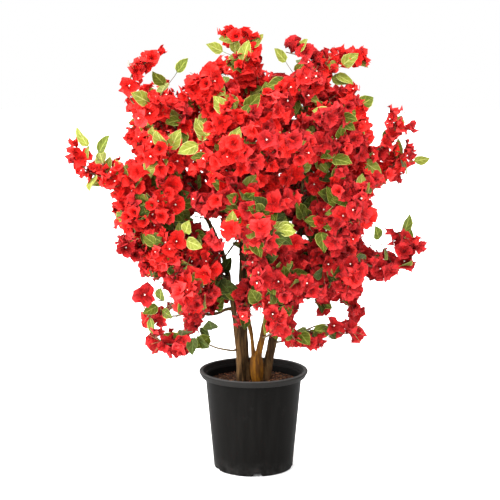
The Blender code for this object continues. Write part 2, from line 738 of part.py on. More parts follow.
def make_masses(leaders, twigs, limbs, finish):
    """Each mass is one solid: its leader, twigs, blossom and leaves, fused."""
    starts, ends, owner = segments([leader.points for leader in leaders.values()])
    wood = {name: wood_of(leader, twigs[name]) for name, leader in leaders.items()}
    trees = {name: tree_of(pieces) for name, pieces in wood.items()}
    limb_tree = tree_of([limb_data(limb) for limb in limbs.values()])
    for index, (name, leader) in enumerate(leaders.items()):
        others = [limb_tree] + [tree for other, tree in trees.items() if other != name]
        kept, bearing = [], {0}
        for carrier, choices in wanted_leafage(leader, twigs[name], random.Random("blossom " + name)):
            taken = others + [tree_of(kept)] if kept else others
            for data in choices:
                near = distances(data[0], starts, ends)
                own = near[:, owner == index].min(axis=1)
                other = near[:, owner != index].min(axis=1)
                tree = tree_of([data])
                above = min(point.z for point in data[0]) > leader.habit.floor
                apart = above and (own + SPACE_MARGIN < other).all()
                if apart and not any(tree.overlap(some) for some in taken):
                    kept.append(data)
                    bearing.add(carrier)
                    break
        pieces = [piece for carrier, piece in enumerate(wood[name]) if carrier in bearing] + kept
        trees[name] = tree_of(pieces)
        base = mesh_object(name, pieces[0], finish)
        others = [mesh_object(f"{name}_{k}", data, finish) for k, data in enumerate(pieces[1:])]
        join(base, others, "UNION", "MANIFOLD")
        drop_scraps(base)


def clear_scene():
    for thing in list(bpy.data.objects):
        bpy.data.objects.remove(thing)


def main():
    clear_scene()
    make_pot(material("black_plastic", BLACK_PLASTIC, 0.5))
    make_fill(material("fill", FILL_BROWN, 0.9))
    limbs = work_out_limbs(material("bark", BARK_BROWN, 0.85), material("pale_wood", PALE_WOOD, 0.75))
    for limb in limbs.values():
        mesh_object(limb.name, limb_data(limb), limb.finish)
    leaders = Leaders(limbs)
    targets = mass_targets()
    leaders.carry_on_tips(targets)
    leaders.root_on_sides(targets)
    twigs = work_out_twigs(leaders.found, limbs)
    make_masses(leaders.found, twigs, limbs, material("silk", SILK_RED, 0.6))


main()
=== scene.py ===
"""Looks of a potted artificial bougainvillea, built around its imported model.

Metres, +Z up. The origin is the middle of the pot's underside, and the front is towards -Y.
The stems, leaders and twigs follow the rule of the part's own source, from the same seeds, and
are carried on here to finer sprigs, single blossoms, leaves and bark.
"""

import contextlib
import functools
import json
import math
import random
from collections import namedtuple

import bpy
import numpy as np
from bpy.props import FloatProperty, FloatVectorProperty, IntProperty, PointerProperty
from mathutils import Matrix, Vector, noise

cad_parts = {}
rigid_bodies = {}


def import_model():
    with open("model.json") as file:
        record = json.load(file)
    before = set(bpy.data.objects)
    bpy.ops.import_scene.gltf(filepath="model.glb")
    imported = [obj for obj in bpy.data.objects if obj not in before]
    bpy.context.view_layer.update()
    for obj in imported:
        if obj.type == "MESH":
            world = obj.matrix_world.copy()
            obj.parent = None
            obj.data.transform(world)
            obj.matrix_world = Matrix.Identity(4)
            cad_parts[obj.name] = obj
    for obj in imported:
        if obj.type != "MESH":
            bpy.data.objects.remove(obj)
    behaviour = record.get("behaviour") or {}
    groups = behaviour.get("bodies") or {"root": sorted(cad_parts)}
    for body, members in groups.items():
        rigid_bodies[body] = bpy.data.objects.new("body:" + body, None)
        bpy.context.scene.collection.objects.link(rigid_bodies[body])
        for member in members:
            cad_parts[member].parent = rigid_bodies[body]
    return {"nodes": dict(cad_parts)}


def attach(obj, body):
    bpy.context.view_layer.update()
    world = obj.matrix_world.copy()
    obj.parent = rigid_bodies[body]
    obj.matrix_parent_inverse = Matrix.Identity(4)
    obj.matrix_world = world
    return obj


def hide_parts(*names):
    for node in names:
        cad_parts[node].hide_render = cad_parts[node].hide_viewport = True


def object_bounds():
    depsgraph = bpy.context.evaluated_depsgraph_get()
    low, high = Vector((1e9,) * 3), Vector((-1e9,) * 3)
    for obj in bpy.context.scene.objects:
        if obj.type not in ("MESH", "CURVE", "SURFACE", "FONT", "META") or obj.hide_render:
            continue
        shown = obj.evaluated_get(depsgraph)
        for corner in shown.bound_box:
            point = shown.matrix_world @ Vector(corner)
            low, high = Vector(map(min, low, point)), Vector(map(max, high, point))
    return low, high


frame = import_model()
CAD_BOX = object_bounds()

bl_info = {
    "name": "Potted bougainvillea",
    "version": (1, 0, 0),
    "blender": (4, 5, 0),
    "location": "3D View > Sidebar > Bougainvillea",
    "description": "Models an artificial bougainvillea in a nursery pot, piece by piece",
    "category": "Add Mesh",
}

BODY = "root"
GOLDEN_ANGLE = math.pi * (3.0 - math.sqrt(5.0))
# A way that no blossom or chip faces exactly.
SLANT = (0.31, 0.52, 0.79)

# Limbs, as in the part's source.
GAP = 0.0003
POT_HEIGHT = 0.257
POT_FOOT_RADIUS = 0.1015
POT_SHOULDER_RADIUS = 0.1235
POT_SHOULDER_HEIGHT = 0.2352
POT_RIM_RADIUS = 0.140
POT_WALL = 0.0025
LEDGE_DROP = 0.0125
LEDGE_WIDTH = 0.003
CHANNEL_DEPTH = 0.010
CHANNEL_INNER_RADIUS = 0.030
CHANNEL_OUTER_RADIUS = 0.0895
DRAIN_COUNT = 5
DRAIN_FIRST_AZIMUTH = math.radians(-84.3)
DRAIN_BOTTOM_WIDTH = 0.027
DRAIN_TOP_WIDTH = 0.017
DRAIN_HEIGHT = 0.0092
FILL_TOP_HEIGHT = 0.2270
FILL_EDGE_HEIGHT = 0.2245
FILL_FLAT_RADIUS = 0.075
STEM_SIDES = 8
BOUGH_SIDES = 6
STEM_RINGS = 9
STUMP_RINGS = 4
BOUGH_RINGS = 5
ROOT_FLARE = 0.28
FLARE_HEIGHT = 0.022
FORK_HEIGHT = 0.318
BOUGH_TIP_RADIUS = 0.0038
BOUGH_SAG, BOUGH_SAG_PLACE = 0.12, 0.55
ROOT_STUB = 0.012
FIRST_NORMAL = Vector((1.0, 0.3, 0.1))

# Crown, as in the part's source.
CROWN_MIDDLE = Vector((-0.015, 0.0, 0.62))
LEADER_RADIUS = 0.0038
LEADER_RINGS = 7
LEADER_CLEARANCE = 0.006
TWIG_KNOTS = 3
TWIG_CLEARANCE = 0.005
ROOT_SPACING = 0.015
TIER_TIP_REACH = 0.060
SIDE_PLACES = [k / 25 for k in range(4, 24)]
TURN_COST = 1.5
CLIMB_COST = 0.7
CLIMB_LEAST = 0.06
TWIG_WAY = (0.90, 0.30, 0.45)
TWIG_TURN = 1.5 * GOLDEN_ANGLE
TWIG_LENGTHS_TRIED = (1.0, 0.8, 0.6)
TWIG_DROOP = (0.10, 0.30)
CURVE_STEPS = 12
START_PULL = 1.6
RETRY_TURN = 1.7
TEST_STEPS = 4
TESTED_FROM = 3

Stem = namedtuple("Stem", "name foot knots foot_radius tip_radius")
Bough = namedtuple("Bough", "name parent share tip radius")
Tier = namedtuple("Tier", "name count height radius_x radius_y first_azimuth tip_rise")
Streamer = namedtuple("Streamer", "name start bend tip")
Limb = namedtuple("Limb", "name points radii sides level_rings")
Leader = namedtuple("Leader", "name points habit")
Habit = namedtuple("Habit", "twigs twig_span twig_length floor")

MASS = Habit(5, (0.30, 0.92), (0.085, 0.125), 0.335)
STREAMER = Habit(4, (0.38, 1.02), (0.060, 0.085), 0.300)

STEMS = (
    Stem("stem_left", (-0.0335, -0.012),
         ((-0.0405, -0.010, 0.333), (-0.056, -0.004, 0.445),
          (-0.083, 0.0, 0.570), (-0.162, 0.0, 0.735)),
         0.0085, 0.0050),
    Stem("stem_centre", (-0.019, 0.011),
         ((-0.0260, 0.009, 0.331), (-0.027, 0.004, 0.500),
          (-0.024, 0.0, 0.600), (-0.006, 0.0, 0.805)),
         0.0118, 0.0055),
    Stem("stem_right", (0.0285, 0.012),
         ((0.061, 0.012, 0.382), (0.094, 0.010, 0.514), (0.149, 0.0, 0.748)),
         0.0112, 0.0050),
)
PALE_STUMP = Stem("stem_pale", (0.009, -0.018),
                  ((0.008, -0.019, 0.270), (0.006, -0.020, FORK_HEIGHT)),
                  0.0150, 0.0132)
PALE_ARMS = (
    Stem("pale_arm_left", (-0.0012, -0.020),
         ((-0.007, -0.021, 0.362), (-0.014, -0.032, 0.400), (-0.022, -0.060, 0.450)),
         0.0054, 0.0042),
    Stem("pale_arm_right", (0.0124, -0.020),
         ((0.026, -0.020, 0.362), (0.033, -0.025, 0.408), (0.050, -0.052, 0.520)),
         0.0062, 0.0042),
)
BOUGHS = (
    Bough("bough_left_low", "stem_left", 0.36, (-0.140, -0.030, 0.412), 0.0040),
    Bough("bough_left_front", "stem_left", 0.68, (-0.218, -0.080, 0.655), 0.0048),
    Bough("bough_left_back", "stem_left", 0.55, (-0.185, 0.110, 0.580), 0.0048),
    Bough("bough_centre_front", "stem_centre", 0.70, (-0.045, -0.130, 0.800), 0.0050),
    Bough("bough_centre_back", "stem_centre", 0.55, (0.000, 0.155, 0.690), 0.0050),
    Bough("bough_centre_top", "stem_centre", 0.84, (-0.100, 0.100, 0.865), 0.0046),
    Bough("bough_right_front", "stem_right", 0.72, (0.120, -0.130, 0.770), 0.0048),
    Bough("bough_right_back", "stem_right", 0.60, (0.145, 0.145, 0.690), 0.0048),
    Bough("bough_right_low", "stem_right", 0.44, (0.210, 0.000, 0.530), 0.0044),
)
TIERS = (
    Tier("skirt", 5, 0.460, 0.180, 0.170, -5.0, -0.020),
    Tier("low", 7, 0.560, 0.215, 0.210, 25.0, -0.020),
    Tier("waist", 6, 0.705, 0.250, 0.225, 30.0, 0.005),
    Tier("shoulder", 6, 0.860, 0.215, 0.195, 30.0, 0.020),
    Tier("top", 3, 0.970, 0.105, 0.085, 90.0, 0.040),
)
STREAMERS = [Streamer("streamer_" + name, *knots) for name, *knots in (
    ("left", (-0.340, -0.020, 0.742), (-0.415, -0.030, 0.770), (-0.440, -0.030, 0.832)),
    ("left_high", (-0.308, 0.010, 0.945), (-0.300, 0.010, 1.020), (-0.240, 0.010, 1.058)),
    ("top", (-0.004, 0.000, 1.038), (-0.020, -0.005, 1.104), (-0.084, -0.010, 1.099)),
    ("top_right", (0.140, -0.010, 0.985), (0.145, -0.010, 1.055), (0.080, -0.015, 1.068)),
    ("right_top", (0.177, 0.020, 1.012), (0.212, 0.020, 1.070), (0.266, 0.015, 1.054)),
    ("right_high", (0.325, -0.010, 0.835), (0.362, -0.010, 0.872), (0.352, -0.015, 0.912)),
    ("right", (0.315, 0.010, 0.760), (0.350, 0.005, 0.783), (0.382, 0.000, 0.820)),
    ("right_hook", (0.315, -0.020, 0.525), (0.388, -0.030, 0.545), (0.360, -0.035, 0.628)),
    ("right_low", (0.172, -0.050, 0.388), (0.226, -0.060, 0.362), (0.272, -0.060, 0.388)),
    ("front_low", (0.078, -0.100, 0.394), (0.097, -0.125, 0.354), (0.148, -0.125, 0.364)),
    ("left_low", (-0.150, -0.060, 0.345), (-0.205, -0.065, 0.332), (-0.258, -0.070, 0.366)),
    ("left_hook", (-0.205, 0.000, 0.395), (-0.278, -0.005, 0.410), (-0.284, -0.010, 0.484)),
    ("back", (0.030, 0.310, 0.640), (0.070, 0.375, 0.660), (0.075, 0.395, 0.720)),
    ("back_left", (-0.190, 0.260, 0.850), (-0.240, 0.330, 0.890), (-0.240, 0.345, 0.955)),
)]
GROUPS = [tier.name for tier in TIERS] + ["streamer"]

# The heights between which the pot's wall runs straight, up to the lip of its rim.
WALL_LOW, LIP_HEIGHT = 0.0090, 0.2390

# Bare side twigs that show below the crown: the stem each one leaves, and its knots.
SPURS = (
    ("stem_left", ((-0.056, -0.006, 0.452), (-0.070, -0.014, 0.461), (-0.113, -0.030, 0.459))),
    ("stem_left", ((-0.062, -0.004, 0.488), (-0.075, -0.012, 0.505), (-0.090, -0.030, 0.514))),
    ("stem_left", ((-0.074, 0.000, 0.548), (-0.046, -0.012, 0.590), (-0.038, -0.020, 0.600))),
    ("stem_left", ((-0.108, 0.000, 0.640), (-0.128, -0.010, 0.652), (-0.150, -0.018, 0.657))),
    ("stem_right", ((0.083, 0.011, 0.470), (0.118, -0.010, 0.472), (0.152, -0.020, 0.452))),
    ("stem_right", ((0.050, 0.012, 0.345), (0.040, -0.004, 0.372), (0.062, -0.020, 0.400))),
)

# What the bark adds to a stem's radius, and the stump's own radii from its foot to its fork.
BARK = {
    "stem_left": -0.0004, "stem_centre": 0.0008, "stem_right": 0.0014, "pale_arm_right": 0.0022
}
STUMP_RADII = (0.0128, 0.0152, 0.0168, 0.0173, 0.0172, 0.0162, 0.0140, 0.0092)
STUMP_TOP = 0.306
# How deep an arm and a bough start inside what carries them, and how much thicker they start.
ARM_ROOT, ARM_SWELL = 0.030, 1.2
BOUGH_ROOT, BOUGH_SWELL = 0.004, 1.35
SPUR_RINGS = 16
SPUR_RADII = (0.0021, 0.0012)
# How round the tubes of stems, twigs and threads are: each has twice this many sides and four more.
STEM_ROUNDNESS, TWIG_ROUNDNESS, THREAD_ROUNDNESS = 9, 1, 0
# The bark's furrows and its slower swells: waves in a metre each way, and shares of the relief.
FURROWS, FURROW_SHARE = Vector((190.0, 190.0, 17.0)), 1.3
SWELLS, SWELL_SHARE = Vector((30.0, 30.0, 22.0)), 0.9
UPRIGHT_RELIEF = 0.3

# Blossom: a bract's half width at each row from its foot to its tip.
BRACT_COLUMNS = 4
BRACT_ROWS = ((0.0, 0.16), (0.22, 0.78), (0.50, 1.04), (0.79, 0.93), (1.0, 0.40))
BRACT_LENGTH = 0.0352
BRACT_HALF_WIDTH = 0.0206
BRACT_STEPS = 24
CUP_RADIUS = 0.0065
RUFFLE, RUFFLE_TURN = 0.0090, 9.0
CREASE = 0.0048
# How far a bract leans out from the blossom's axis at its foot and at its tip, in degrees.
OPENINGS = ((14.0, 98.0), (10.0, 74.0), (7.0, 48.0))
CLOSED = 2
VARIANTS = 3
# The pin and the dot of a stamen: radius, bottom and top. A share of the open blossoms has one.
PIN = (0.00055, 0.002, 0.0135)
DOT = (0.0022, 0.0125, 0.0165)
STAMEN_SHARE = 0.40

# Leaves: a leaf's half width at each row from its foot to its tip.
LEAF_COLUMNS = 4
LEAF_ROWS = (
    (0.0, 0.03), (0.18, 0.04), (0.28, 0.74), (0.46, 1.0), (0.67, 0.86), (0.86, 0.44), (1.0, 0.0)
)
LEAF_LENGTH = 0.066
LEAF_HALF_WIDTH = 0.0185
LEAF_FOLD, LEAF_HANG, LEAF_WAVE = 0.22, 0.14, 0.02
LEAF_CRUMPLE = 0.0005

# The curled tendrils of a tuft.
TUFT_SHARE = 0.5
TUFT_PLACES = (0.72, 0.9)
TUFT_THREADS = 12
TUFT_WAY = (0.8, 0.5, 0.9)
TUFT_LENGTHS = (0.022, 0.040)
TUFT_BENDS = (0.2, 0.6)
TUFT_RINGS = 6
TUFT_RADII = (0.00055, 0.00035)

# The chips on the fill: their three tones, how often each comes up, and their shape and places.
CHIP_GAINS = (0.30, 1.0, 2.3)
CHIP_SHARES = (0.38, 0.44, 0.18)
CHIP_SHAPE = (1.0, 0.55, 0.38)
CHIP_SIZES, CHIP_STRETCH = (0.5, 1.35), (0.7, 1.3)
CHIP_TILT = 0.35
CHIP_CRUMPLE = 0.00045
CHIP_EDGE_GAP = 0.0045
CHIP_SINK, CHIP_LIFTS = 0.0008, (-0.001, 0.0012)
# The bed that they lie on.
BED_SIDES = 96
BED_RINGS = (0.110, 0.098, 0.086, FILL_FLAT_RADIUS, 0.060, 0.045, 0.030, 0.015)
BED_EDGE_DROP, BED_DROP = 0.001, 0.0012
BED_SWELL, BED_SWELLS = 0.0012, 70.0

# The stage. The camera at FRONT_EYE is turned up from straight down by its pitch.
FRONT_EYE = Vector((-0.009, -3.83, 1.18))
CAMERA_PITCH = math.radians(80.92)
SENSOR_WIDTH = 36.0
CAMERA_REACH = 40.0
FLOOR_RADIUS, FLOOR_DROP, FLOOR_SIDES = 14.0, 0.0004, 96
AIM = Vector((0.0, 0.0, 0.62))
# Each light's place and size, by the name of its setting.
LIGHTS = {
    "key": ((-1.9, -3.1, 2.9), 2.0),
    "front": ((-1.2, -4.1, 2.3), 2.0),
    "side": ((-2.8, -1.3, 0.5), 1.2),
    "top": ((0.2, -1.2, 3.7), 2.0),
}
# Where the surround is brightest.
LIGHT_FROM = (-0.78, -0.26, 0.57)

# Tones are dealt out by spray, by the rules of red_tone and green_tone.
RED_TONES = ("bright", "rose", "deep")
GREEN_TONES = ("mid", "lime", "dark")
ROSE_SHARE = 0.22
# Deep red: its least share, the most that the right side adds, and how fast it grows to the right
# of one line and below another. Beyond its least share, deep red is painted shade: the crown's
# right side and lower part are darker, away from the light at the upper left.
DEEP_LEAST, SHADE_RIGHT_MOST, SHADE_GROWS = 0.02, 0.40, 1.6
SHADE_RIGHT_OF, SHADE_BELOW = -0.12, 0.86
# Lime: its share at a level, and what a metre up, a metre left and being inside change. What the
# height, the left and being inside change is painted light: more lime leaves where the light falls
# from the upper left, fewer inside the crown.
LIME_SHARE, LIME_LEVEL, LIT_LIME_UP, LIT_LIME_LEFT, SHADED_LIME_INSIDE = 0.28, 0.62, 0.7, 0.40, 0.15
# Dark green: its share inside, its share outside at a level, and what a metre down adds. Dark green
# is painted shade, dealt inside the crown and low down where shade falls.
SHADED_DARK_INSIDE, DARK_SHARE, DARK_LEVEL, SHADED_DARK_DOWN = 0.50, 0.14, 0.6, 0.6
INSIDE_DEPTH = 0.72
CROWN_HALF_SIZE = (0.34, 0.32, 0.44)


# Curves and limbs.


def spread(dense, count):
    """count points at equal distances along a polyline, ends included."""
    steps = [(b - a).length for a, b in zip(dense, dense[1:])]
    total = sum(steps)
    found, at, passed = [dense[0].copy()], 0, 0.0
    for k in range(1, count - 1):
        wanted = total * k / (count - 1)
        while passed + steps[at] < wanted:
            passed += steps[at]
            at += 1
        found.append(dense[at].lerp(dense[at + 1], (wanted - passed) / steps[at]))
    return [*found, dense[-1].copy()]


def curve(knots, rings, start_way=None):
    """Evenly spread points of a smooth curve through the knots. start_way is its first way."""
    knots = [Vector(k) for k in knots]
    before = 2 * knots[0] - knots[1]
    if start_way is not None:
        before = knots[1] - START_PULL * (knots[1] - knots[0]).length * start_way
    padded = [before, *knots, 2 * knots[-1] - knots[-2]]
    dense = [knots[0]]
    for a, b, c, d in zip(padded, padded[1:], padded[2:], padded[3:]):
        for step in range(1, CURVE_STEPS + 1):
            t = step / CURVE_STEPS
            bend = (2 * a - 5 * b + 4 * c - d) * t * t + (3 * b - a - 3 * c + d) * t**3
            dense.append(0.5 * (2 * b + (c - a) * t + bend))
    return spread(dense, rings)


def length_of(line):
    return sum((b - a).length for a, b in zip(line, line[1:]))


def rooted_curve(root, out, knots, rings):
    """A curve with a short straight stub at its root, square to what carries it."""
    stub = root + ROOT_STUB * out
    return [root, *curve([stub, *knots], rings - 1, out)]


def at_share(points, share):
    """(point, direction) at a share of the way through a polyline's points."""
    place = max(0.0, min(share, 1.0)) * (len(points) - 1)
    k = min(int(place), len(points) - 2)
    return points[k].lerp(points[k + 1], place - k), (points[k + 1] - points[k]).normalized()


def square_to(direction, axis):
    """The part of direction that is square to axis, one unit long."""
    flat = direction - direction.dot(axis) * axis
    if flat.length < 1e-6:
        flat = axis.orthogonal()
    return flat.normalized()


def limb_rings(limb):
    """The vertices of a limb's rings, with the rings that are cut level laid level."""
    last = len(limb.points) - 1
    normal = FIRST_NORMAL
    vertices = []
    for ring, (point, radius) in enumerate(zip(limb.points, limb.radii)):
        tangent = (limb.points[min(ring + 1, last)] - limb.points[max(ring - 1, 0)]).normalized()
        normal = square_to(normal, tangent)
        side = tangent.cross(normal)
        for k in range(limb.sides):
            angle = math.tau * k / limb.sides
            vertex = point + radius * (math.cos(angle) * normal + math.sin(angle) * side)
            if ring in limb.level_rings:
                vertex.z = point.z
            vertices.append(vertex)
    return vertices


def bark_flat(limb, share, wanted):
    """(point, normal) of the limb's flat that faces the wanted way, at a share of its rings."""
    vertices = limb_rings(limb)
    place = share * (len(limb.points) - 1)
    ring = min(int(place), len(limb.points) - 2)
    heart, _ = at_share(limb.points, share)
    flats = []
    for k in range(limb.sides):
        low = [vertices[ring * limb.sides + j % limb.sides] for j in (k, k + 1)]
        high = [vertices[(ring + 1) * limb.sides + j % limb.sides] for j in (k, k + 1)]
        left, right = (a.lerp(b, place - ring) for a, b in zip(low, high))
        middle = 0.5 * (left + right)
        normal = (right - left).cross(high[0] - low[0]).normalized()
        if normal.dot(middle - heart) < 0.0:
            normal.negate()
        flats.append((normal.dot(wanted), k, middle, normal))
    return max(flats)[2:]


def carriers(limbs):
    """The limbs that carry leaders and twigs: all but the pale stump, whose arms do."""
    return [limb for limb in limbs.values() if limb.name != PALE_STUMP.name]


def stem_limb(stem, foot_height, sides, rings, level_rings, flare):
    """A stem from its level cut at foot_height, thickened by its flare just above it."""
    points = curve([(*stem.foot, foot_height), *stem.knots], rings)
    radii = []
    for k, point in enumerate(points):
        radius = stem.foot_radius + (stem.tip_radius - stem.foot_radius) * k / (rings - 1)
        radii.append(radius * (1.0 + flare * math.exp((foot_height - point.z) / FLARE_HEIGHT)))
    return Limb(stem.name, points, radii, sides, level_rings)


def bough_limb(bough, parent):
    """A bough that leaves a flat of its parent, sags a little and rises to its tip."""
    heart, along = at_share(parent.points, bough.share)
    tip = Vector(bough.tip)
    place, out = bark_flat(parent, bough.share, square_to(tip - heart, along))
    root = place + GAP * out
    sag = Vector((0.0, 0.0, -BOUGH_SAG * (tip - root).length))
    points = rooted_curve(root, out, [root.lerp(tip, BOUGH_SAG_PLACE) + sag, tip], BOUGH_RINGS)
    taper = (BOUGH_TIP_RADIUS - bough.radius) / (BOUGH_RINGS - 1)
    radii = [bough.radius + taper * k for k in range(BOUGH_RINGS)]
    return Limb(bough.name, points, radii, BOUGH_SIDES, ())


@functools.cache
def all_limbs():
    """All limbs by name, each one before those that it carries."""
    foot = FILL_TOP_HEIGHT + GAP
    limbs = [stem_limb(stem, foot, STEM_SIDES, STEM_RINGS, (0,), ROOT_FLARE) for stem in STEMS]
    cut = (0, STUMP_RINGS - 1)
    limbs.append(stem_limb(PALE_STUMP, foot, STEM_SIDES, STUMP_RINGS, cut, ROOT_FLARE))
    for arm in PALE_ARMS:
        limbs.append(stem_limb(arm, FORK_HEIGHT + GAP, BOUGH_SIDES, BOUGH_RINGS, (0,), 0.0))
    found = {limb.name: limb for limb in limbs}
    for bough in BOUGHS:
        found[bough.name] = bough_limb(bough, found[bough.parent])
    return found


# Leaders and twigs.


def rows_of(vectors):
    """Vectors as the rows of an array."""
    return np.array([tuple(vector) for vector in vectors])


def segments(lines):
    """(starts, ends, owner index) of the segments of several polylines, as arrays."""
    starts, ends, owner = [], [], []
    for index, points in enumerate(lines):
        starts += [tuple(p) for p in points[:-1]]
        ends += [tuple(p) for p in points[1:]]
        owner += [index] * (len(points) - 1)
    return np.array(starts), np.array(ends), np.array(owner)


def distances(points, starts, ends):
    """The distance of each point to each segment."""
    points = rows_of(points)[:, None, :]
    run = ends - starts
    share = ((points - starts) * run).sum(2) / np.maximum((run * run).sum(1), 1e-12)
    share = np.clip(share, 0.0, 1.0)
    return np.linalg.norm(points - (starts + share[..., None] * run), axis=2)


def clear_of(points, lines, radii, clearance):
    """True if every point keeps clear of all the polylines."""
    if not lines:
        return True
    starts, ends, owner = segments(lines)
    reach = np.array(radii)[owner] + clearance
    return bool((distances(points, starts, ends) > reach).all())


def finer(points):
    """The polyline's points with more between them, to be tested."""
    return spread(points, (len(points) - 1) * TEST_STEPS + 1)


def mass_targets():
    """(name, habit, knots) of every mass: what its leader runs through after its root."""
    found = [(streamer.name, STREAMER, [Vector(p) for p in streamer[1:]]) for streamer in STREAMERS]
    for tier in TIERS:
        for k in range(tier.count):
            angle = math.radians(tier.first_azimuth) + math.tau * k / tier.count
            out = Vector((math.cos(angle), math.sin(angle), 0.0))
            reach = (tier.radius_x * out.x, tier.radius_y * out.y)
            spot = Vector((CROWN_MIDDLE.x + reach[0], reach[1], tier.height))
            tip = spot + TIER_TIP_REACH * out + Vector((0.0, 0.0, tier.tip_rise))
            found.append((f"{tier.name}_{k + 1}", MASS, [spot, tip]))
    return found


class Leaders:
    """The leader of each mass, rooted on the limbs with a clear way between them."""

    def __init__(self, limbs):
        self.limbs = limbs
        self.lines = [limb.points for limb in limbs.values()]
        self.radii = [max(limb.radii) for limb in limbs.values()]
        self.roots = [limb.points[0] for limb in limbs.values()]
        self.found = {}

    def add(self, name, habit, knots, root, out):
        """Adds the leader unless something is in its way. True if it was added."""
        points = rooted_curve(root, out, knots, LEADER_RINGS)
        tested = [p for p in finer(points) if (p - root).length > ROOT_STUB]
        others = [leader.points for leader in self.found.values()]
        if not clear_of(tested, self.lines, self.radii, LEADER_CLEARANCE):
            return False
        if not clear_of(tested, others, [LEADER_RADIUS] * len(others), LEADER_CLEARANCE):
            return False
        self.found[name] = Leader(name, points, habit)
        self.roots.append(root)
        return True

    def carry_on_tips(self, targets):
        """Each limb's tip carries on into the mass that lies best ahead of it."""
        pairs = []
        for limb in carriers(self.limbs):
            along = (limb.points[-1] - limb.points[-2]).normalized()
            root = limb.points[-1] + GAP * along
            for row in targets:
                way = row[2][0] - root
                turn = 1.0 - along.dot(way.normalized())
                pairs.append((way.length * (1.0 + TURN_COST * turn), limb.name, row, root, along))
        served = set()
        for _, limb_name, row, root, along in sorted(pairs, key=lambda pair: pair[0]):
            if limb_name not in served and row[0] not in self.found and self.add(*row, root, along):
                served.add(limb_name)

    def root_on_sides(self, targets):
        """The other masses root on the nearest flat of a limb."""
        for name, habit, knots in targets:
            if name in self.found:
                continue
            places = []
            for limb in carriers(self.limbs):
                for share in SIDE_PLACES:
                    heart, along = at_share(limb.points, share)
                    place, out = bark_flat(limb, share, square_to(knots[0] - heart, along))
                    climb = max(0.0, place.z - knots[0].z + CLIMB_LEAST)
                    cost = (knots[0] - place).length + CLIMB_COST * climb
                    places.append((cost, place + GAP * out, out))
            for _, root, out in sorted(places, key=lambda place: place[0]):
                apart = min((root - other).length for other in self.roots) > ROOT_SPACING
                if apart and self.add(name, habit, knots, root, out):
                    break
            else:
                raise ValueError(f"no clear way to {name}")


def twig_line(start, way, length, droop):
    """A twig that sets out along way and sinks under its own weight."""
    line = []
    for k in range(TWIG_KNOTS):
        share = k / (TWIG_KNOTS - 1)
        line.append(start + length * (share * way - Vector((0.0, 0.0, droop * share * share))))
    return line


def away(place):
    """The way out of the crown at a place."""
    return (place - CROWN_MIDDLE).normalized()


def around(along, angle):
    """A direction square to along, turned about it by an angle."""
    return Matrix.Rotation(angle, 3, along) @ along.orthogonal().normalized()


def way_from(place, along, side, shares):
    """A direction from its shares of sideways, forwards and out of the crown."""
    return (shares[0] * side + shares[1] * along + shares[2] * away(place)).normalized()


class Space:
    """Tells whether a line keeps to its own mass's space and clear of the limbs."""

    def __init__(self, leaders, limbs):
        lines = [leader.points for leader in leaders.values()]
        self.starts, self.ends, self.owner = segments(lines)
        self.index = {name: k for k, name in enumerate(leaders)}
        self.lines = [limb.points for limb in limbs.values()]
        self.radii = [max(limb.radii) for limb in limbs.values()]

    def holds(self, name, points, margin):
        """True if every point is nearer to its own leader than to any other."""
        near = distances(points, self.starts, self.ends)
        own = self.owner == self.index[name]
        return bool((near[:, own].min(axis=1) + margin < near[:, ~own].min(axis=1)).all())

    def owner_of(self, point):
        """The mass whose leader is nearest."""
        near = distances([point], self.starts, self.ends)[0]
        return list(self.index)[self.owner[near.argmin()]]

    def fits(self, name, line, floor):
        """True if a twig may grow along the line."""
        above = min(point.z for point in line) > floor + TWIG_CLEARANCE
        tested = finer(line)
        return (
            above
            and self.holds(name, tested[TESTED_FROM:], TWIG_CLEARANCE)
            and self.clear(tested)
        )

    def clear(self, points):
        """True if every point keeps clear of the limbs."""
        return clear_of(points, self.lines, self.radii, TWIG_CLEARANCE)


def work_out_twigs(leaders, space):
    """{mass name: [twig]} by a seeded rule. A twig that would leave its space is cut short."""
    twigs = {}
    for name, leader in leaders.items():
        draw = random.Random("twigs " + name)
        habit, (low, high) = leader.habit, leader.habit.twig_span
        twigs[name] = []
        for k in range(habit.twigs):
            start, along = at_share(leader.points, low + (high - low) * (k + 0.5) / habit.twigs)
            side = around(along, k * TWIG_TURN + draw.uniform(-TWIG_PLAY, TWIG_PLAY))
            way = way_from(start, along, side, TWIG_WAY)
            length = draw.uniform(*habit.twig_length)
            droop = draw.uniform(*TWIG_DROOP)
            for shorter in TWIG_LENGTHS_TRIED:
                line = twig_line(start, way, length * shorter, droop)
                if space.fits(name, line, habit.floor):
                    twigs[name].append(line)
                    break
    return twigs


# Sprigs, blossom and leaves: what the scene adds to the source's rule.

Spray = namedtuple("Spray", "mass kind line")
Bloom = namedtuple("Bloom", "base axis spin size opening tone")
Leaf = namedtuple("Leaf", "base along up length tone")

SPRIG_STARTS = {
    "leader": (0.22, 0.34, 0.46, 0.58, 0.70, 0.80, 0.90),
    "twig": (0.28, 0.48, 0.68, 0.86),
}
SPRIG_LENGTHS = {"mass": (0.042, 0.070), "streamer": (0.022, 0.034)}
SPRIG_WAYS = {"mass": TWIG_WAY, "streamer": (0.60, 0.25, 0.80)}
SPRIG_FIRST_TURN = 1.9
# How far places on a line, as a share of it, and turns about it vary.
PLACE_PLAY = 0.05
TWIG_PLAY, SPRIG_PLAY, BLOOM_PLAY = 0.4, 0.5, 0.3
# The streamers whose leaders carry sprigs of their own.
FULL_STREAMERS = (
    "streamer_top", "streamer_top_right", "streamer_right_top", "streamer_right_high",
    "streamer_right", "streamer_right_hook", "streamer_left",
)
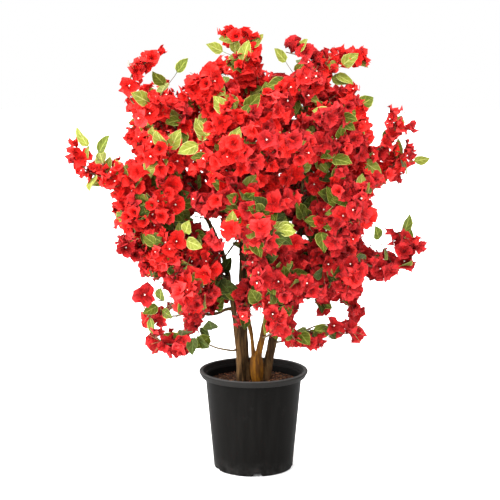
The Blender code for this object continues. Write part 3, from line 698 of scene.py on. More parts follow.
# Young twigs with nothing but leaves: the mass and share of its leader they leave, and their tips.
LEAFY_TWIGS = (
    ("streamer_left", 0.66, (-0.405, -0.050, 0.828)),
    ("streamer_left_hook", 0.55, (-0.236, -0.030, 0.440)),
    ("streamer_left_low", 0.55, (-0.156, -0.090, 0.372)),
    ("streamer_left_low", 0.38, (-0.104, -0.080, 0.376)),
    ("streamer_right_hook", 0.60, (0.316, -0.055, 0.598)),
    ("streamer_right", 0.80, (0.394, -0.030, 0.798)),
    ("streamer_right_low", 0.45, (0.146, -0.080, 0.372)),
    ("streamer_top_right", 0.62, (0.082, -0.035, 1.040)),
    ("streamer_right_top", 0.70, (0.214, 0.000, 1.030)),
    ("streamer_top", 0.66, (-0.068, -0.030, 1.066)),
    ("streamer_left_high", 0.55, (-0.196, -0.010, 1.010)),
)
LEAFY_TWIG_RISE = Vector((0.0, 0.0, 0.006))
# How many twigs each mass of a tier gains, from where on its leader, and how long they are.
EXTRA_TWIGS = {"low": 1, "waist": 4, "shoulder": 4, "top": 1}
EXTRA_TWIGS_FROM, EXTRA_TWIGS_RUN = 0.22, 0.72
EXTRA_TWIG_LENGTH = (0.070, 0.115)
EXTRA_TWIG_CUT = 0.12
BARRED_TWIG_SHARE = 0.45
LIMB_TWIG_SHARES = (0.45, 0.60, 0.75, 0.88, 0.97)
# The stems are in view below the crown: nothing hangs in front of them.
WINDOW = ((-0.065, 0.075), 0.400)
SKY_MARGIN = {"mass": 0.017, "streamer": 0.008}
FLOORS = {"mass": MASS.floor, "streamer": STREAMER.floor}
BOX_MARGIN = 0.008
# Gaps that show sky from the front: x and z of their middle and their half size at the stems.
SKY = (
    (-0.056, 0.536, 0.021, 0.054),
    (-0.128, 0.640, 0.013, 0.018),
    (-0.092, 0.628, 0.011, 0.016),
    (0.011, 0.399, 0.016, 0.020),
    (0.140, 0.420, 0.018, 0.018),
    (0.220, 0.414, 0.016, 0.024),
    (0.118, 0.372, 0.012, 0.020),
    (-0.161, 1.064, 0.034, 0.042),
    (0.046, 1.056, 0.028, 0.046),
    (-0.362, 0.937, 0.044, 0.100),
    (-0.198, 1.022, 0.022, 0.036),
    (-0.385, 0.712, 0.018, 0.016),
    (-0.376, 0.556, 0.034, 0.077),
    (-0.400, 0.668, 0.014, 0.040),
    (-0.262, 0.414, 0.020, 0.020),
    (-0.060, 0.412, 0.014, 0.022),
    (0.168, 0.366, 0.022, 0.014),
    (0.298, 0.372, 0.020, 0.022),
    (-0.322, 0.822, 0.014, 0.020),
    (0.092, 1.030, 0.018, 0.020),
    (-0.117, 1.074, 0.024, 0.032),
    (-0.325, 0.482, 0.032, 0.058),
    (-0.320, 0.385, 0.034, 0.046),
    (-0.242, 0.460, 0.012, 0.022),
    (-0.212, 0.432, 0.014, 0.012),
    (-0.202, 0.369, 0.032, 0.017),
    (-0.105, 0.352, 0.046, 0.056),
    (0.338, 0.684, 0.036, 0.052),
    (0.305, 0.602, 0.018, 0.030),
    (0.325, 0.885, 0.010, 0.018),
    (0.398, 0.468, 0.052, 0.048),
    (0.298, 0.455, 0.022, 0.042),
    (0.205, 0.310, 0.030, 0.020),
    (0.090, 0.300, 0.060, 0.020),
)
SPRIG_TRIES = 4
# Blossom on a line: how far apart, how crowded, and how clear of the limbs and of the floor.
BLOSSOM_GAP, GAP_PLAY = 0.0150, (0.85, 1.2)
CROWDED = 0.0168
BLOOM_CLEARANCE = 0.007
BLOOM_LIFT = 0.004
# A blossom's foot, heart and top, from its twig outwards.
BLOOM_FOOT, BLOOM_HEART, BLOOM_TOP = 0.002, 0.014, 0.022
BLOOM_SIZES, TIP_BLOOM_SIZE = (0.82, 1.08), 0.85
BLOOM_WAY, TIP_BLOOM_WAY = (0.95, 0.28, 0.42), (0.0, 1.0, 0.35)
CLOSED_SHARE, TIP_CLOSED_SHARE = 0.12, 0.6
OPEN_DEAL = (0, 0, 1)
BLOOM_TONE_KEPT, LEAF_TONE_KEPT = 0.8, 0.85
LEAF_WAY, TIP_LEAF_WAY = (1.0, 0.25, 0.32), (0.15, 1.0, 0.2)
LEAF_SIZES = (0.72, 1.06)
# A leaf's face: how far it turns its own way, to the front, out and up.
LEAF_TURN, LEAF_TO_FRONT, LEAF_OUT, LEAF_UP = 0.35, 0.9, 0.4, 0.2
FRONT_HALF = 0.05
# Few sprigs are leafy above this level, and more below it.
LEAFY_LEVEL = 0.58
LEAFY_SHARES = (0.03, 0.20)
LEAVES_THIN_ABOVE = 0.76
LEAVES_LEFT_OUT = 0.34
BARE_SHARE = {"leader": 0.60, "twig": 0.26, "sprig": 0.15}
STREAMER_BARE_SHARE = 0.36
STREAMER_TWIG_LAST = 0.66
LEAF_SHARES = {
    "leader": (0.14, 0.34, 0.52),
    "twig": (0.20, 0.55),
    "sprig": (0.14,),
    "leafy": (0.45, 0.72, 1.0),
    "spur": (0.62, 0.85, 1.0),
}
# How finely a leader and a finer line are followed by what hangs on them, and by their wood.
LEADER_POINTS, SPRAY_POINTS = 24, 10
LEADER_WOOD_RINGS, SPRAY_WOOD_RINGS = 26, 8
# The radii of each kind of line at its foot and at its tip.
LINE_RADII = {
    "leader": (0.0030, 0.0012),
    "twig": (0.0013, 0.0008),
    "sprig": (0.0008, 0.0006),
    "leafy": (0.0009, 0.0007),
}


def habit_of(mass):
    return "streamer" if mass.startswith("streamer") else "mass"


def kept_open(point, margin):
    """True in front of the bare stems, and in front of or behind one of the gaps."""
    (left, right), height = WINDOW
    if left < point.x < right and point.y < 0.0 and point.z < height:
        return True
    share = FRONT_EYE.y / (FRONT_EYE.y - point.y)
    seen = FRONT_EYE + share * (point - FRONT_EYE)
    return any(
        ((seen.x - x) / (half_x + margin)) ** 2 + ((seen.z - z) / (half_z + margin)) ** 2 < 1.0
        for x, z, half_x, half_z in SKY
    )


def barred(line):
    """True if a line's middle or its tip would close a gap that is kept open."""
    return any(kept_open(point, 0.0) for point in line[1:])


def sprigs_on(line, kind, leader, space, draw):
    """The finer sprigs that grow from a line of a leader's mass, within the mass's own space."""
    found = []
    habit = habit_of(leader.name)
    for k, share in enumerate(SPRIG_STARTS[kind]):
        start, along = at_share(line, share + draw.uniform(-PLACE_PLAY, PLACE_PLAY))
        length, droop = draw.uniform(*SPRIG_LENGTHS[habit]), draw.uniform(*TWIG_DROOP)
        for attempt in range(SPRIG_TRIES):
            turn = k * TWIG_TURN + SPRIG_FIRST_TURN + attempt * RETRY_TURN
            side = around(along, turn + draw.uniform(-SPRIG_PLAY, SPRIG_PLAY))
            way = way_from(start, along, side, SPRIG_WAYS[habit])
            sprig = twig_line(start, way, length, droop)
            if not barred(sprig) and space.fits(leader.name, sprig, leader.habit.floor):
                found.append(Spray(leader.name, "sprig", sprig))
                break
    return found


def extra_twigs(leader, space, draw):
    """More twigs between the source's own, where a mass leaves room."""
    count = EXTRA_TWIGS.get(leader.name.split("_")[0], 0)
    found = []
    for k in range(count):
        share = EXTRA_TWIGS_FROM + EXTRA_TWIGS_RUN * (k + 0.5) / count
        start, along = at_share(leader.points, share)
        for attempt in range(SPRIG_TRIES):
            side = around(along, (k + 0.5) * TWIG_TURN + attempt * RETRY_TURN)
            way = way_from(start, along, side, TWIG_WAY)
            length = draw.uniform(*EXTRA_TWIG_LENGTH) * (1.0 - EXTRA_TWIG_CUT * attempt)
            line = twig_line(start, way, length, draw.uniform(*TWIG_DROOP))
            if not barred(line) and space.fits(leader.name, line, leader.habit.floor):
                found.append(line)
                break
    return found


@functools.cache
def all_leaders():
    """{mass name: leader}."""
    leaders = Leaders(all_limbs())
    targets = mass_targets()
    leaders.carry_on_tips(targets)
    leaders.root_on_sides(targets)
    return leaders.found


def limb_twigs(space):
    """{mass name: [twig]} of twigs straight from the limbs, each in the space of a mass."""
    found = {}
    for limb in carriers(all_limbs()):
        draw = random.Random("limb twigs " + limb.name)
        for k, share in enumerate(LIMB_TWIG_SHARES):
            start, along = at_share(limb.points, share)
            for attempt in range(SPRIG_TRIES):
                side = around(along, k * TWIG_TURN + attempt * RETRY_TURN)
                way = way_from(start, along, side, TWIG_WAY)
                length, droop = draw.uniform(*EXTRA_TWIG_LENGTH), draw.uniform(*TWIG_DROOP)
                line = twig_line(start, way, length, droop)
                owner = space.owner_of(line[-1])
                outer = finer(line)[TEST_STEPS:]
                if not barred(line) and space.holds(owner, outer, 0.0) and space.clear(outer):
                    found.setdefault(owner, []).append(line)
                    break
    return found


@functools.cache
def all_sprays():
    """Every leader, twig and sprig of the crown."""
    leaders = all_leaders()
    space = Space(leaders, all_limbs())
    twigs = work_out_twigs(leaders, space)
    from_limbs = limb_twigs(space)
    found = []
    for name, leader in leaders.items():
        draw = random.Random("sprigs " + name)
        streamer = leader.habit is STREAMER
        found.append(Spray(name, "leader", leader.points))
        sprigs = []
        if not streamer or name in FULL_STREAMERS:
            sprigs = sprigs_on(leader.points, "leader", leader, space, draw)
        root = leader.points[0]
        last = (at_share(leader.points, STREAMER_TWIG_LAST)[0] - root).length
        for line in twigs[name]:
            if barred(line):
                line = [line[0].lerp(point, BARRED_TWIG_SHARE) for point in line]
            if not streamer or (line[0] - root).length <= last:
                found.append(Spray(name, "twig", line))
                sprigs += sprigs_on(line, "twig", leader, space, draw)
        for line in extra_twigs(leader, space, draw) + from_limbs.get(name, []):
            found.append(Spray(name, "twig", line))
            sprigs += sprigs_on(line, "twig", leader, space, draw)
        found += sprigs
        for carrier, share, tip in LEAFY_TWIGS:
            if carrier == name:
                start, tip = at_share(leader.points, share)[0], Vector(tip)
                middle = start.lerp(tip, 0.5) + LEAFY_TWIG_RISE
                found.append(Spray(name, "leafy", [start, middle, tip]))
    return found + [Spray("low_1", "spur", [Vector(knot) for knot in knots]) for _, knots in SPURS]


def depth(place):
    """0 in the crown's middle and 1 at its outline."""
    out = place - CROWN_MIDDLE
    return Vector([part / half for part, half in zip(out, CROWN_HALF_SIZE)]).length


def red_tone(place, draw):
    """The tone of a spray's blossom. Deep red, dealt more low down and on the right, is painted
    shade.
    """
    # Painted shade: deep red grows to the right and low down, away from the light at the upper
    # left.
    right = min(SHADE_RIGHT_MOST, max(0.0, SHADE_GROWS * (place.x - SHADE_RIGHT_OF)))
    deep = DEEP_LEAST + right + max(0.0, SHADE_GROWS * (SHADE_BELOW - place.z))
    roll = draw.random()
    if roll < deep:
        return RED_TONES.index("deep")
    return RED_TONES.index("rose" if roll < deep + ROSE_SHARE else "bright")


def leafy_share(place):
    """The share of sprigs with leaves alone: few high up and more low down."""
    few, many = LEAFY_SHARES
    return min(many, max(few, many - (place.z - LEAFY_LEVEL)))


def green_tone(place, draw):
    """The tone of a spray's leaves: lime high up and on the left is partly painted light, and dark
    green inside and low down is painted shade.
    """
    roll = draw.random()
    # Painted light and shade: lime grows up and to the left, dark green inside the crown and low
    # down.
    inside = depth(place) < INSIDE_DEPTH
    lime = LIME_SHARE + LIT_LIME_UP * (place.z - LIME_LEVEL) - LIT_LIME_LEFT * place.x
    dark = max(0.0, DARK_SHARE + SHADED_DARK_DOWN * (DARK_LEVEL - place.z))
    if inside:
        lime, dark = lime - SHADED_LIME_INSIDE, SHADED_DARK_INSIDE
    if roll < dark:
        return GREEN_TONES.index("dark")
    return GREEN_TONES.index("lime" if roll > 1.0 - lime else "mid")


class Crown:
    """All blossom and leaves, kept clear of the limbs and not too crowded."""

    def __init__(self):
        limbs = all_limbs().values()
        self.starts, self.ends, owner = segments([limb.points for limb in limbs])
        self.reach = np.array([max(limb.radii) for limb in limbs])[owner] + BLOOM_CLEARANCE
        self.taken = np.zeros((0, 3))
        self.blooms, self.leaves = {}, {}
        for spray in all_sprays():
            self.dress(spray)

    def free(self, points, mass, lift=0.0):
        """True if the points are above the mass's floor, in the box, out of the gaps and clear."""
        habit = habit_of(mass)
        floor = FLOORS[habit] + lift
        for point in points:
            box = zip(point, *CAD_BOX)
            outside = any(not low - BOX_MARGIN < at < high + BOX_MARGIN for at, low, high in box)
            if outside or point.z < floor or kept_open(point, SKY_MARGIN[habit]):
                return False
        return bool((distances(points, self.starts, self.ends) > self.reach).all())

    def dress(self, spray):
        """Hangs blossom and leaves on a spray. A leafy one has no blossom."""
        draw = random.Random(f"dress {spray.mass} {spray.kind} {spray.line[-1][:]}")
        inner = habit_of(spray.mass) == "mass"
        line = curve(spray.line, LEADER_POINTS if spray.kind == "leader" else SPRAY_POINTS)
        leafy = spray.kind == "sprig" and inner and draw.random() < leafy_share(line[-1])
        kind = "leafy" if leafy else spray.kind
        if kind not in ("leafy", "spur"):
            self.hang_blossom(spray, line, draw)
        tone = green_tone(line[len(line) // 2], draw)
        leaves = self.leaves.setdefault(spray.mass, [])
        for share in LEAF_SHARES[kind]:
            place, along = at_share(line, share + draw.uniform(-PLACE_PLAY, PLACE_PLAY))
            thinned = inner and kind != "leafy" and place.z > LEAVES_THIN_ABOVE
            if thinned and draw.random() < LEAVES_LEFT_OUT:
                continue
            side = around(along, draw.uniform(0.0, math.tau))
            way = way_from(place, along, side, TIP_LEAF_WAY if share == 1.0 else LEAF_WAY)
            up = self.leaf_up(place, draw)
            size = LEAF_LENGTH * draw.uniform(*LEAF_SIZES)
            points = [place + 0.5 * size * way, place + size * way]
            if spray.kind in ("leafy", "spur") or self.free(points, spray.mass):
                own = tone if draw.random() < LEAF_TONE_KEPT else green_tone(place, draw)
                leaves.append(Leaf(place, way, up, size, own))

    def leaf_up(self, place, draw):
        """The way a leaf's face turns: outwards and to the light, each one a little its own way."""
        out = away(place)
        own = Vector([draw.uniform(-LEAF_TURN, LEAF_TURN) for _ in range(3)])
        front = LEAF_TO_FRONT if place.y < FRONT_HALF else 0.0
        return Vector((out.x, out.y - front, LEAF_OUT * out.z + LEAF_UP)) + own

    def crowded(self, heart):
        """True if another blossom stands too near."""
        apart = np.linalg.norm(self.taken - np.array(heart), axis=1)
        return len(apart) > 0 and apart.min() < CROWDED

    def hang_blossom(self, spray, line, draw):
        """Hangs blossom from a spray's tip inwards, round and round it."""
        bare = BARE_SHARE[spray.kind]
        if spray.kind == "leader" and habit_of(spray.mass) == "streamer":
            bare = STREAMER_BARE_SHARE
        tone = red_tone(line[-1], draw)
        blooms = self.blooms.setdefault(spray.mass, [])
        length = length_of(line)
        back, count = 0.0, 0
        while back <= length * (1.0 - bare):
            at_tip = count == 0
            place, along = at_share(line, 1.0 - back / length)
            side = around(along, count * GOLDEN_ANGLE + draw.uniform(-BLOOM_PLAY, BLOOM_PLAY))
            axis = way_from(place, along, side, TIP_BLOOM_WAY if at_tip else BLOOM_WAY)
            size = draw.uniform(*BLOOM_SIZES) * (TIP_BLOOM_SIZE if at_tip else 1.0)
            closed = draw.random() < (TIP_CLOSED_SHARE if at_tip else CLOSED_SHARE)
            opening = CLOSED if closed else draw.choice(OPEN_DEAL)
            foot, heart, top = (place + out * axis for out in (BLOOM_FOOT, BLOOM_HEART, BLOOM_TOP))
            if not self.crowded(heart) and self.free([heart, top], spray.mass, BLOOM_LIFT):
                own = tone if draw.random() < BLOOM_TONE_KEPT else red_tone(place, draw)
                spin = draw.uniform(0.0, math.tau)
                blooms.append(Bloom(foot, axis, spin, size, opening, own))
                self.taken = np.vstack([self.taken, np.array(heart)])
            back += BLOSSOM_GAP * draw.uniform(*GAP_PLAY)
            count += 1


@functools.cache
def crown():
    """The crown, worked out once for all the pieces that hang in it."""
    return Crown()


# Modelling helpers.


def deselect():
    """Leaves nothing selected, so that an operator acts only on what is added next."""
    for thing in bpy.context.view_layer.objects:
        thing.select_set(False)


def hold(thing):
    """Makes a thing the only one selected."""
    deselect()
    thing.select_set(True)
    bpy.context.view_layer.objects.active = thing


@contextlib.contextmanager
def editing():
    """Edit mode on the active thing, with all of it selected."""
    bpy.ops.object.mode_set(mode="EDIT")
    bpy.ops.mesh.select_all(action="SELECT")
    yield
    bpy.ops.object.mode_set(mode="OBJECT")


def finish_piece(thing, name, finishes, nodes=()):
    """Names a piece, gives it its materials and lets it ride on the plant's body."""
    thing.name = thing.data.name = name
    if thing.data.materials:
        thing.data.materials.clear()
    for finish in finishes:
        thing.data.materials.append(finish)
    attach(thing, BODY)
    if nodes:
        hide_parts(*nodes)
    return thing


def lathe(outline, sides):
    """A closed turned shape. The outline is (radius, height) from its bottom to its top face."""
    deselect()
    bpy.ops.mesh.primitive_circle_add(
        vertices=sides, radius=outline[0][0], fill_type="NGON", location=(0.0, 0.0, outline[0][1])
    )
    thing = bpy.context.object
    bpy.ops.object.transform_apply(location=True, rotation=False, scale=False)
    with editing():
        for (old_radius, low), (radius, high) in zip(outline, outline[1:]):
            step = {"value": (0.0, 0.0, high - low)}
            bpy.ops.mesh.extrude_region_move(TRANSFORM_OT_translate=step)
            grow = radius / old_radius
            bpy.ops.transform.resize(value=(grow, grow, 1.0), center_override=(0.0, 0.0, high))
        bpy.ops.mesh.select_all(action="SELECT")
        bpy.ops.mesh.normals_make_consistent(inside=False)
    return thing


def tubes(lines, roundness):
    """One mesh of round tubes. Each line is (points, radii, finish index)."""
    deselect()
    bpy.ops.curve.primitive_bezier_curve_add()
    thing = bpy.context.object
    shape = thing.data
    shape.splines.clear()
    shape.dimensions = "3D"
    shape.bevel_depth = 1.0
    shape.bevel_resolution = roundness
    shape.use_fill_caps = True
    for _ in range(1 + max(line[2] for line in lines)):
        shape.materials.append(None)
    for points, radii, finish in lines:
        spline = shape.splines.new("POLY")
        spline.points.add(len(points) - 1)
        for knot, point, radius in zip(spline.points, points, radii):
            knot.co = (*point, 1.0)
            knot.radius = radius
        spline.use_smooth = True
        spline.material_index = finish
    bpy.ops.object.convert(target="MESH")
    thing = bpy.context.object
    with editing():
        bpy.ops.mesh.remove_doubles(threshold=1e-6)
        bpy.ops.mesh.normals_make_consistent(inside=False)
    return thing


def sheet_pattern(columns, rows, shape):
    """Arrays of a small sheet modelled from a grid: vertices, faces and their (u, v) places."""
    deselect()
    bpy.ops.mesh.primitive_grid_add(x_subdivisions=columns, y_subdivisions=len(rows) - 1, size=2.0)
    thing = bpy.context.object
    places = []
    for vertex in thing.data.vertices:
        row = round((vertex.co.y + 1.0) / 2.0 * (len(rows) - 1))
        places.append((vertex.co.x, *rows[row]))
    tips = [k for k, place in enumerate(places) if place[2] == 0.0]
    faces = []
    for face in thing.data.polygons:
        faces.append(list(dict.fromkeys(tips[0] if k in tips else k for k in face.vertices)))
    bpy.data.objects.remove(thing)
    sheet = np.array([(0.5 + 0.5 * u, v) for u, v, _ in places])
    return rows_of(shape(*place) for place in places), faces, sheet


def pattern_of(thing, lift=0.0):
    """The pattern of a primitive, which is removed. It has no sheet places of its own."""
    vertices = rows_of(vertex.co for vertex in thing.data.vertices) + [0.0, 0.0, lift]
    faces = [list(face.vertices) for face in thing.data.polygons]
    bpy.data.objects.remove(thing)
    return vertices, faces, np.zeros((len(vertices), 2))


def joined(parts):
    """One pattern of several: (vertices, faces, places)."""
    vertices, faces, places = [], [], []
    for some, corners, where in parts:
        base = sum(len(v) for v in vertices)
        vertices.append(some)
        faces += [[k + base for k in face] for face in corners]
        places.append(where)
    return np.vstack(vertices), faces, np.vstack(places)


def copies_mesh(name, batches):
    """A mesh object of many copies. Each batch is (pattern, frames, bases, tones, jitter).

    A copy is the pattern turned and sized by its frame, set on its base and crumpled by its jitter.
    """
    vertices, loops, starts, totals, tones, places = [], [], [], [], [], []
    count, corner = 0, 0
    for (shape, faces, where), frames, bases, tone, jitter in batches:
        if not len(bases):
            continue
        moved = np.einsum("nij,kj->nki", frames, shape) + bases[:, None, :] + jitter
        flat = np.concatenate([np.array(face) for face in faces])
        sizes = np.array([len(face) for face in faces])
        firsts = np.concatenate([[0], np.cumsum(sizes)[:-1]])
        used = len(bases)
        vertices.append(moved.reshape(-1, 3))
        loops.append((flat[None, :] + count + len(shape) * np.arange(used)[:, None]).ravel())
        starts.append((firsts[None, :] + corner + len(flat) * np.arange(used)[:, None]).ravel())
        totals.append(np.tile(sizes, used))
        tones.append(np.repeat(tone, len(faces)))
        places.append(np.tile(where[flat], (used, 1)))
        count += used * len(shape)
        corner += used * len(flat)
    mesh = bpy.data.meshes.new(name)
    vertices, loops, starts = np.vstack(vertices), np.concatenate(loops), np.concatenate(starts)
    mesh.vertices.add(len(vertices))
    mesh.vertices.foreach_set("co", vertices.ravel())
    mesh.loops.add(len(loops))
    mesh.loops.foreach_set("vertex_index", loops)
    mesh.polygons.add(len(starts))
    mesh.polygons.foreach_set("loop_start", starts)
    mesh.polygons.foreach_set("loop_total", np.concatenate(totals))
    mesh.update(calc_edges=True)
    mesh.polygons.foreach_set("material_index", np.concatenate(tones))
    mesh.uv_layers.new(name="Sheet").data.foreach_set("uv", np.vstack(places).ravel())
    mesh.shade_smooth()
    mesh.validate()
    thing = bpy.data.objects.new(name, mesh)
    bpy.context.scene.collection.objects.link(thing)
    hold(thing)
    with editing():
        bpy.ops.mesh.delete_loose()
    return thing


def frames_for(axes, spins):
    """Turning matrices whose third axis is the wanted one, turned about it by the spin."""
    axes = rows_of(axes)
    across = np.cross(axes, SLANT)
    across /= np.linalg.norm(across, axis=1)[:, None]
    side = np.cross(axes, across)
    turn_c, turn_s = np.cos(spins)[:, None], np.sin(spins)[:, None]
    first, second = turn_c * across + turn_s * side, turn_c * side - turn_s * across
    return np.stack([first, second, axes], axis=2)


# Materials.


class Signal:
    """A node's output that takes part in sums."""

    def __init__(self, finish, socket):
        self.finish = finish
        self.socket = socket

    def maths(self, operation, *values):
        inputs = dict(enumerate(values))
        return self.finish.node("ShaderNodeMath", {"operation": operation}, inputs)

    def __add__(self, other):
        return self.maths("ADD", self, other)

    def __sub__(self, other):
        return self.maths("SUBTRACT", self, other)

    def __rsub__(self, other):
        return self.maths("SUBTRACT", other, self)

    def __mul__(self, other):
        return self.maths("MULTIPLY", self, other)

    __radd__ = __add__
    __rmul__ = __mul__

    def size(self):
        return self.maths("ABSOLUTE", self)

    def wave(self):
        return self.maths("SINE", self)

    def rise(self, low, high):
        """0 below low, 1 above high and smooth between. It falls where low is the larger."""
        settings = {"interpolation_type": "SMOOTHSTEP"}
        inputs = {"Value": self, "From Min": low, "From Max": high}
        return self.finish.node("ShaderNodeMapRange", settings, inputs)


class Finish:
    """A material in the making: its node method adds any node and gives its first output."""

    def __init__(self, name, **constants):
        self.made = bpy.data.materials.new(name)
        self.made.use_nodes = True
        self.nodes = self.made.node_tree.nodes
        self.shader = self.nodes["Principled BSDF"]
        for socket, value in constants.items():
            self.feed(self.shader.inputs[socket.replace("_", " ")], value)

    def feed(self, socket, value):
        if isinstance(value, Signal):
            self.made.node_tree.links.new(value.socket, socket)
        else:
            socket.default_value = value

    def node(self, kind, settings, inputs, output=0):
        made = self.nodes.new(kind)
        for name, value in settings.items():
            setattr(made, name, value)
        for key, value in inputs.items():
            self.feed(made.inputs[key], value)
        return Signal(self, made.outputs[output])

    def place(self, stretch=(1.0, 1.0, 1.0)):
        """Places in the object's own metres, stretched along its axes."""
        where = self.node("ShaderNodeTexCoord", {}, {}, "Object")
        return self.node("ShaderNodeMapping", {}, {"Vector": where, "Scale": stretch})

    def cloud(self, scale, detail=3.0, rough=0.55, stretch=(1.0, 1.0, 1.0)):
        inputs = {"Vector": self.place(stretch), "Scale": scale, "Detail": detail}
        return self.node("ShaderNodeTexNoise", {}, {**inputs, "Roughness": rough})

    def sheet(self):
        """(across from -1 to 1, along from 0 to 1) on a small sheet."""
        where = self.node("ShaderNodeUVMap", {"uv_map": "Sheet"}, {})
        across = self.node("ShaderNodeSeparateXYZ", {}, {"Vector": where}, "X")
        along = self.node("ShaderNodeSeparateXYZ", {}, {"Vector": where}, "Y")
        return 2.0 * across - 1.0, along

    def blend(self, first, second, share):
        """Two colours, or a colour and a signal, mixed."""
        return self.node("ShaderNodeMix", {"data_type": "RGBA"}, {0: share, 6: first, 7: second}, 2)

    def bump(self, height, strength, distance):
        inputs = {"Height": height, "Strength": strength, "Distance": distance}
        self.feed(self.shader.inputs["Normal"], self.node("ShaderNodeBump", {}, inputs))

    def colour(self, value):
        self.feed(self.shader.inputs["Base Color"], value)

    def roughness(self, value):
        self.feed(self.shader.inputs["Roughness"], value)


def rgba(colour, gain=1.0):
    """A colour with its gain and full cover."""
    return (*(min(1.0, gain * part) for part in colour[:3]), 1.0)


def silk_finish(name, colour, deep, edge):
    """Dyed silk: painted shade darkens it at the bracts' feet and in the folds by its deep share,
    over its own veins and mottle; its edge is lighter, partly a paler hem and partly a painted
    highlight.
    """
    finish = Finish(name, Sheen_Weight=0.02, Sheen_Roughness=0.45, Specular_IOR_Level=0.10)
    across, along = finish.sheet()
    # Painted shade: the bracts' feet, where they overlap, are darkened in the colour.
    throat_shade = along.rise(0.72, 0.06)
    # Lighter towards the tip and the margins: partly the silk's paler hem, partly a painted
    # highlight.
    hem = across.size().rise(0.80, 1.0) * along.rise(0.15, 0.40)
    outer = along.rise(0.45, 1.0) * 0.55 + hem * 0.35
    vein = (across * 11.0).wave().size().rise(0.25, 0.0) * (1.0 - throat_shade)
    mottle = finish.cloud(115.0).rise(0.38, 0.64)
    patch = finish.cloud(24.0, 2.0).rise(0.42, 0.62)
    # Painted shade in the folds, which the bump also presses in.
    shaded_fold = (across * 4.2 + 2.4 * finish.cloud(32.0, 2.0)).wave().rise(0.10, 0.95)
    shaded_fold = shaded_fold * along.rise(0.10, 0.45)
    # The darkening: painted shade at the bracts' feet and in the folds, with the silk's own veins,
    # mottle and patches.
    shade = 0.80 * throat_shade + 0.20 * vein + 0.36 * mottle + 0.16 * patch + 0.64 * shaded_fold
    body = finish.blend(rgba(colour), rgba(colour, deep), shade)
    finish.colour(finish.blend(body, rgba(edge), 0.62 * outer))
    finish.roughness(0.62 + 0.14 * mottle)
    crinkle = 2.5 * finish.cloud(130.0, 2.0) + 0.5 * finish.cloud(420.0, 2.0)
    finish.bump(crinkle - 1.0 * shaded_fold + 0.3 * vein, 0.9, 0.0036)
    return finish.made


def leaf_finish(name, blade, vein_colour, edge):
    """A printed cloth leaf: a pale rib, slanting veins, a light margin and a mottled blade."""
    finish = Finish(name, Sheen_Weight=0.05, Sheen_Roughness=0.5, Specular_IOR_Level=0.12)
    across, along = finish.sheet()
    rib = across.size().rise(0.11, 0.03)
    vein = (along * 30.0 - across.size() * 9.0).wave().rise(0.72, 1.0)
    rim = across.size().rise(0.86, 1.0) * along.rise(0.12, 0.22)
    mottle = finish.cloud(90.0).rise(0.30, 0.75)
    body = finish.blend(rgba(blade), rgba(blade, 0.40), 0.62 * mottle)
    body = finish.blend(body, rgba(vein_colour), 0.46 * rib + 0.24 * vein)
    finish.colour(finish.blend(body, rgba(edge), 0.60 * rim))
    finish.roughness(0.50 + 0.18 * mottle)
    finish.bump(vein * -0.6 - rib + finish.cloud(300.0, 2.0) * 0.4, 0.5, 0.0009)
    return finish.made


def bark_finish(name, dark, light, grain, rough):
    """Bark: upright streaks and furrows, with fine grain between them."""
    finish = Finish(name, Specular_IOR_Level=0.12)
    streak = finish.cloud(150.0, 5.0, 0.62, (1.0, 1.0, 0.10))
    patch = finish.cloud(38.0, 3.0, 0.5, (1.0, 1.0, 0.35)).rise(0.35, 0.70)
    furrow = streak.rise(0.38, 0.62)
    body = finish.blend(rgba(dark), rgba(light), furrow * (0.45 + 0.55 * patch))
    speck = finish.cloud(520.0, 2.0).rise(0.58, 0.72)
    finish.colour(finish.blend(body, rgba(dark, 0.5), 0.45 * speck))
    finish.roughness(rough + 0.12 * furrow)
    finish.bump(streak + 0.35 * finish.cloud(480.0, 3.0), 0.8, grain)
    return finish.made


def plain_finish(name, colour, rough, change=0.35, scale=160.0):
    """A small thing's finish: one colour, cloudy and a little rough."""
    finish = Finish(name, Specular_IOR_Level=0.3)
    cloud = finish.cloud(scale).rise(0.3, 0.7)
    finish.colour(finish.blend(rgba(colour), rgba(colour, 1.0 - change), cloud))
    finish.roughness(rough + 0.15 * cloud)
    finish.bump(finish.cloud(scale * 4.0, 2.0), 0.4, 0.0006)
    return finish.made


def pot_finish(name, black, wear_and_highlight):
    """Moulded black plastic: a fine grain, faint upright flow lines, scuffs, a lighter foot that is
    partly dusty and partly a painted floor reflection, and painted highlights on the rolled rim and
    its crest, the rim partly rubbed as well.
    """
    finish = Finish(name, Specular_IOR_Level=0.02)
    where = finish.node("ShaderNodeTexCoord", {}, {}, "Object")
    height = finish.node("ShaderNodeSeparateXYZ", {}, {"Vector": where}, "Z")
    flow = finish.cloud(60.0, 3.0, 0.5, (1.0, 1.0, 0.06)).rise(0.35, 0.75)
    scuff = finish.cloud(26.0, 6.0, 0.7).rise(0.56, 0.72)
    # A lighter foot, partly dusty and partly a painted reflection of the pale floor.
    dust_and_reflection = height.rise(0.045, 0.0) * finish.cloud(45.0, 4.0).rise(0.35, 0.7)
    # The rim above the lip is lighter, partly rubbed and partly a painted highlight.
    rim_wear_and_highlight = height.rise(LIP_HEIGHT, LIP_HEIGHT + 0.0018)
    # Painted highlight: a thin bright line along the rim's crest.
    crest = height.rise(POT_HEIGHT - 0.0026, POT_HEIGHT - 0.0010)
    # Lighter marks: flow lines and scuffs, with the painted light of the foot and the rim.
    wear_and_painted_light = 0.07 * flow + 0.13 * scuff + 0.5 * dust_and_reflection + 0.42 * rim_wear_and_highlight
    body = finish.blend(rgba(black), rgba(wear_and_highlight), wear_and_painted_light)
    finish.colour(finish.blend(body, rgba(wear_and_highlight, 2.3), 0.85 * crest))
    finish.roughness(0.46 + 0.12 * flow + 0.16 * scuff)
    finish.bump(finish.cloud(900.0, 2.0) + 0.3 * flow, 0.25, 0.0004)
    return finish.made


# Settings.


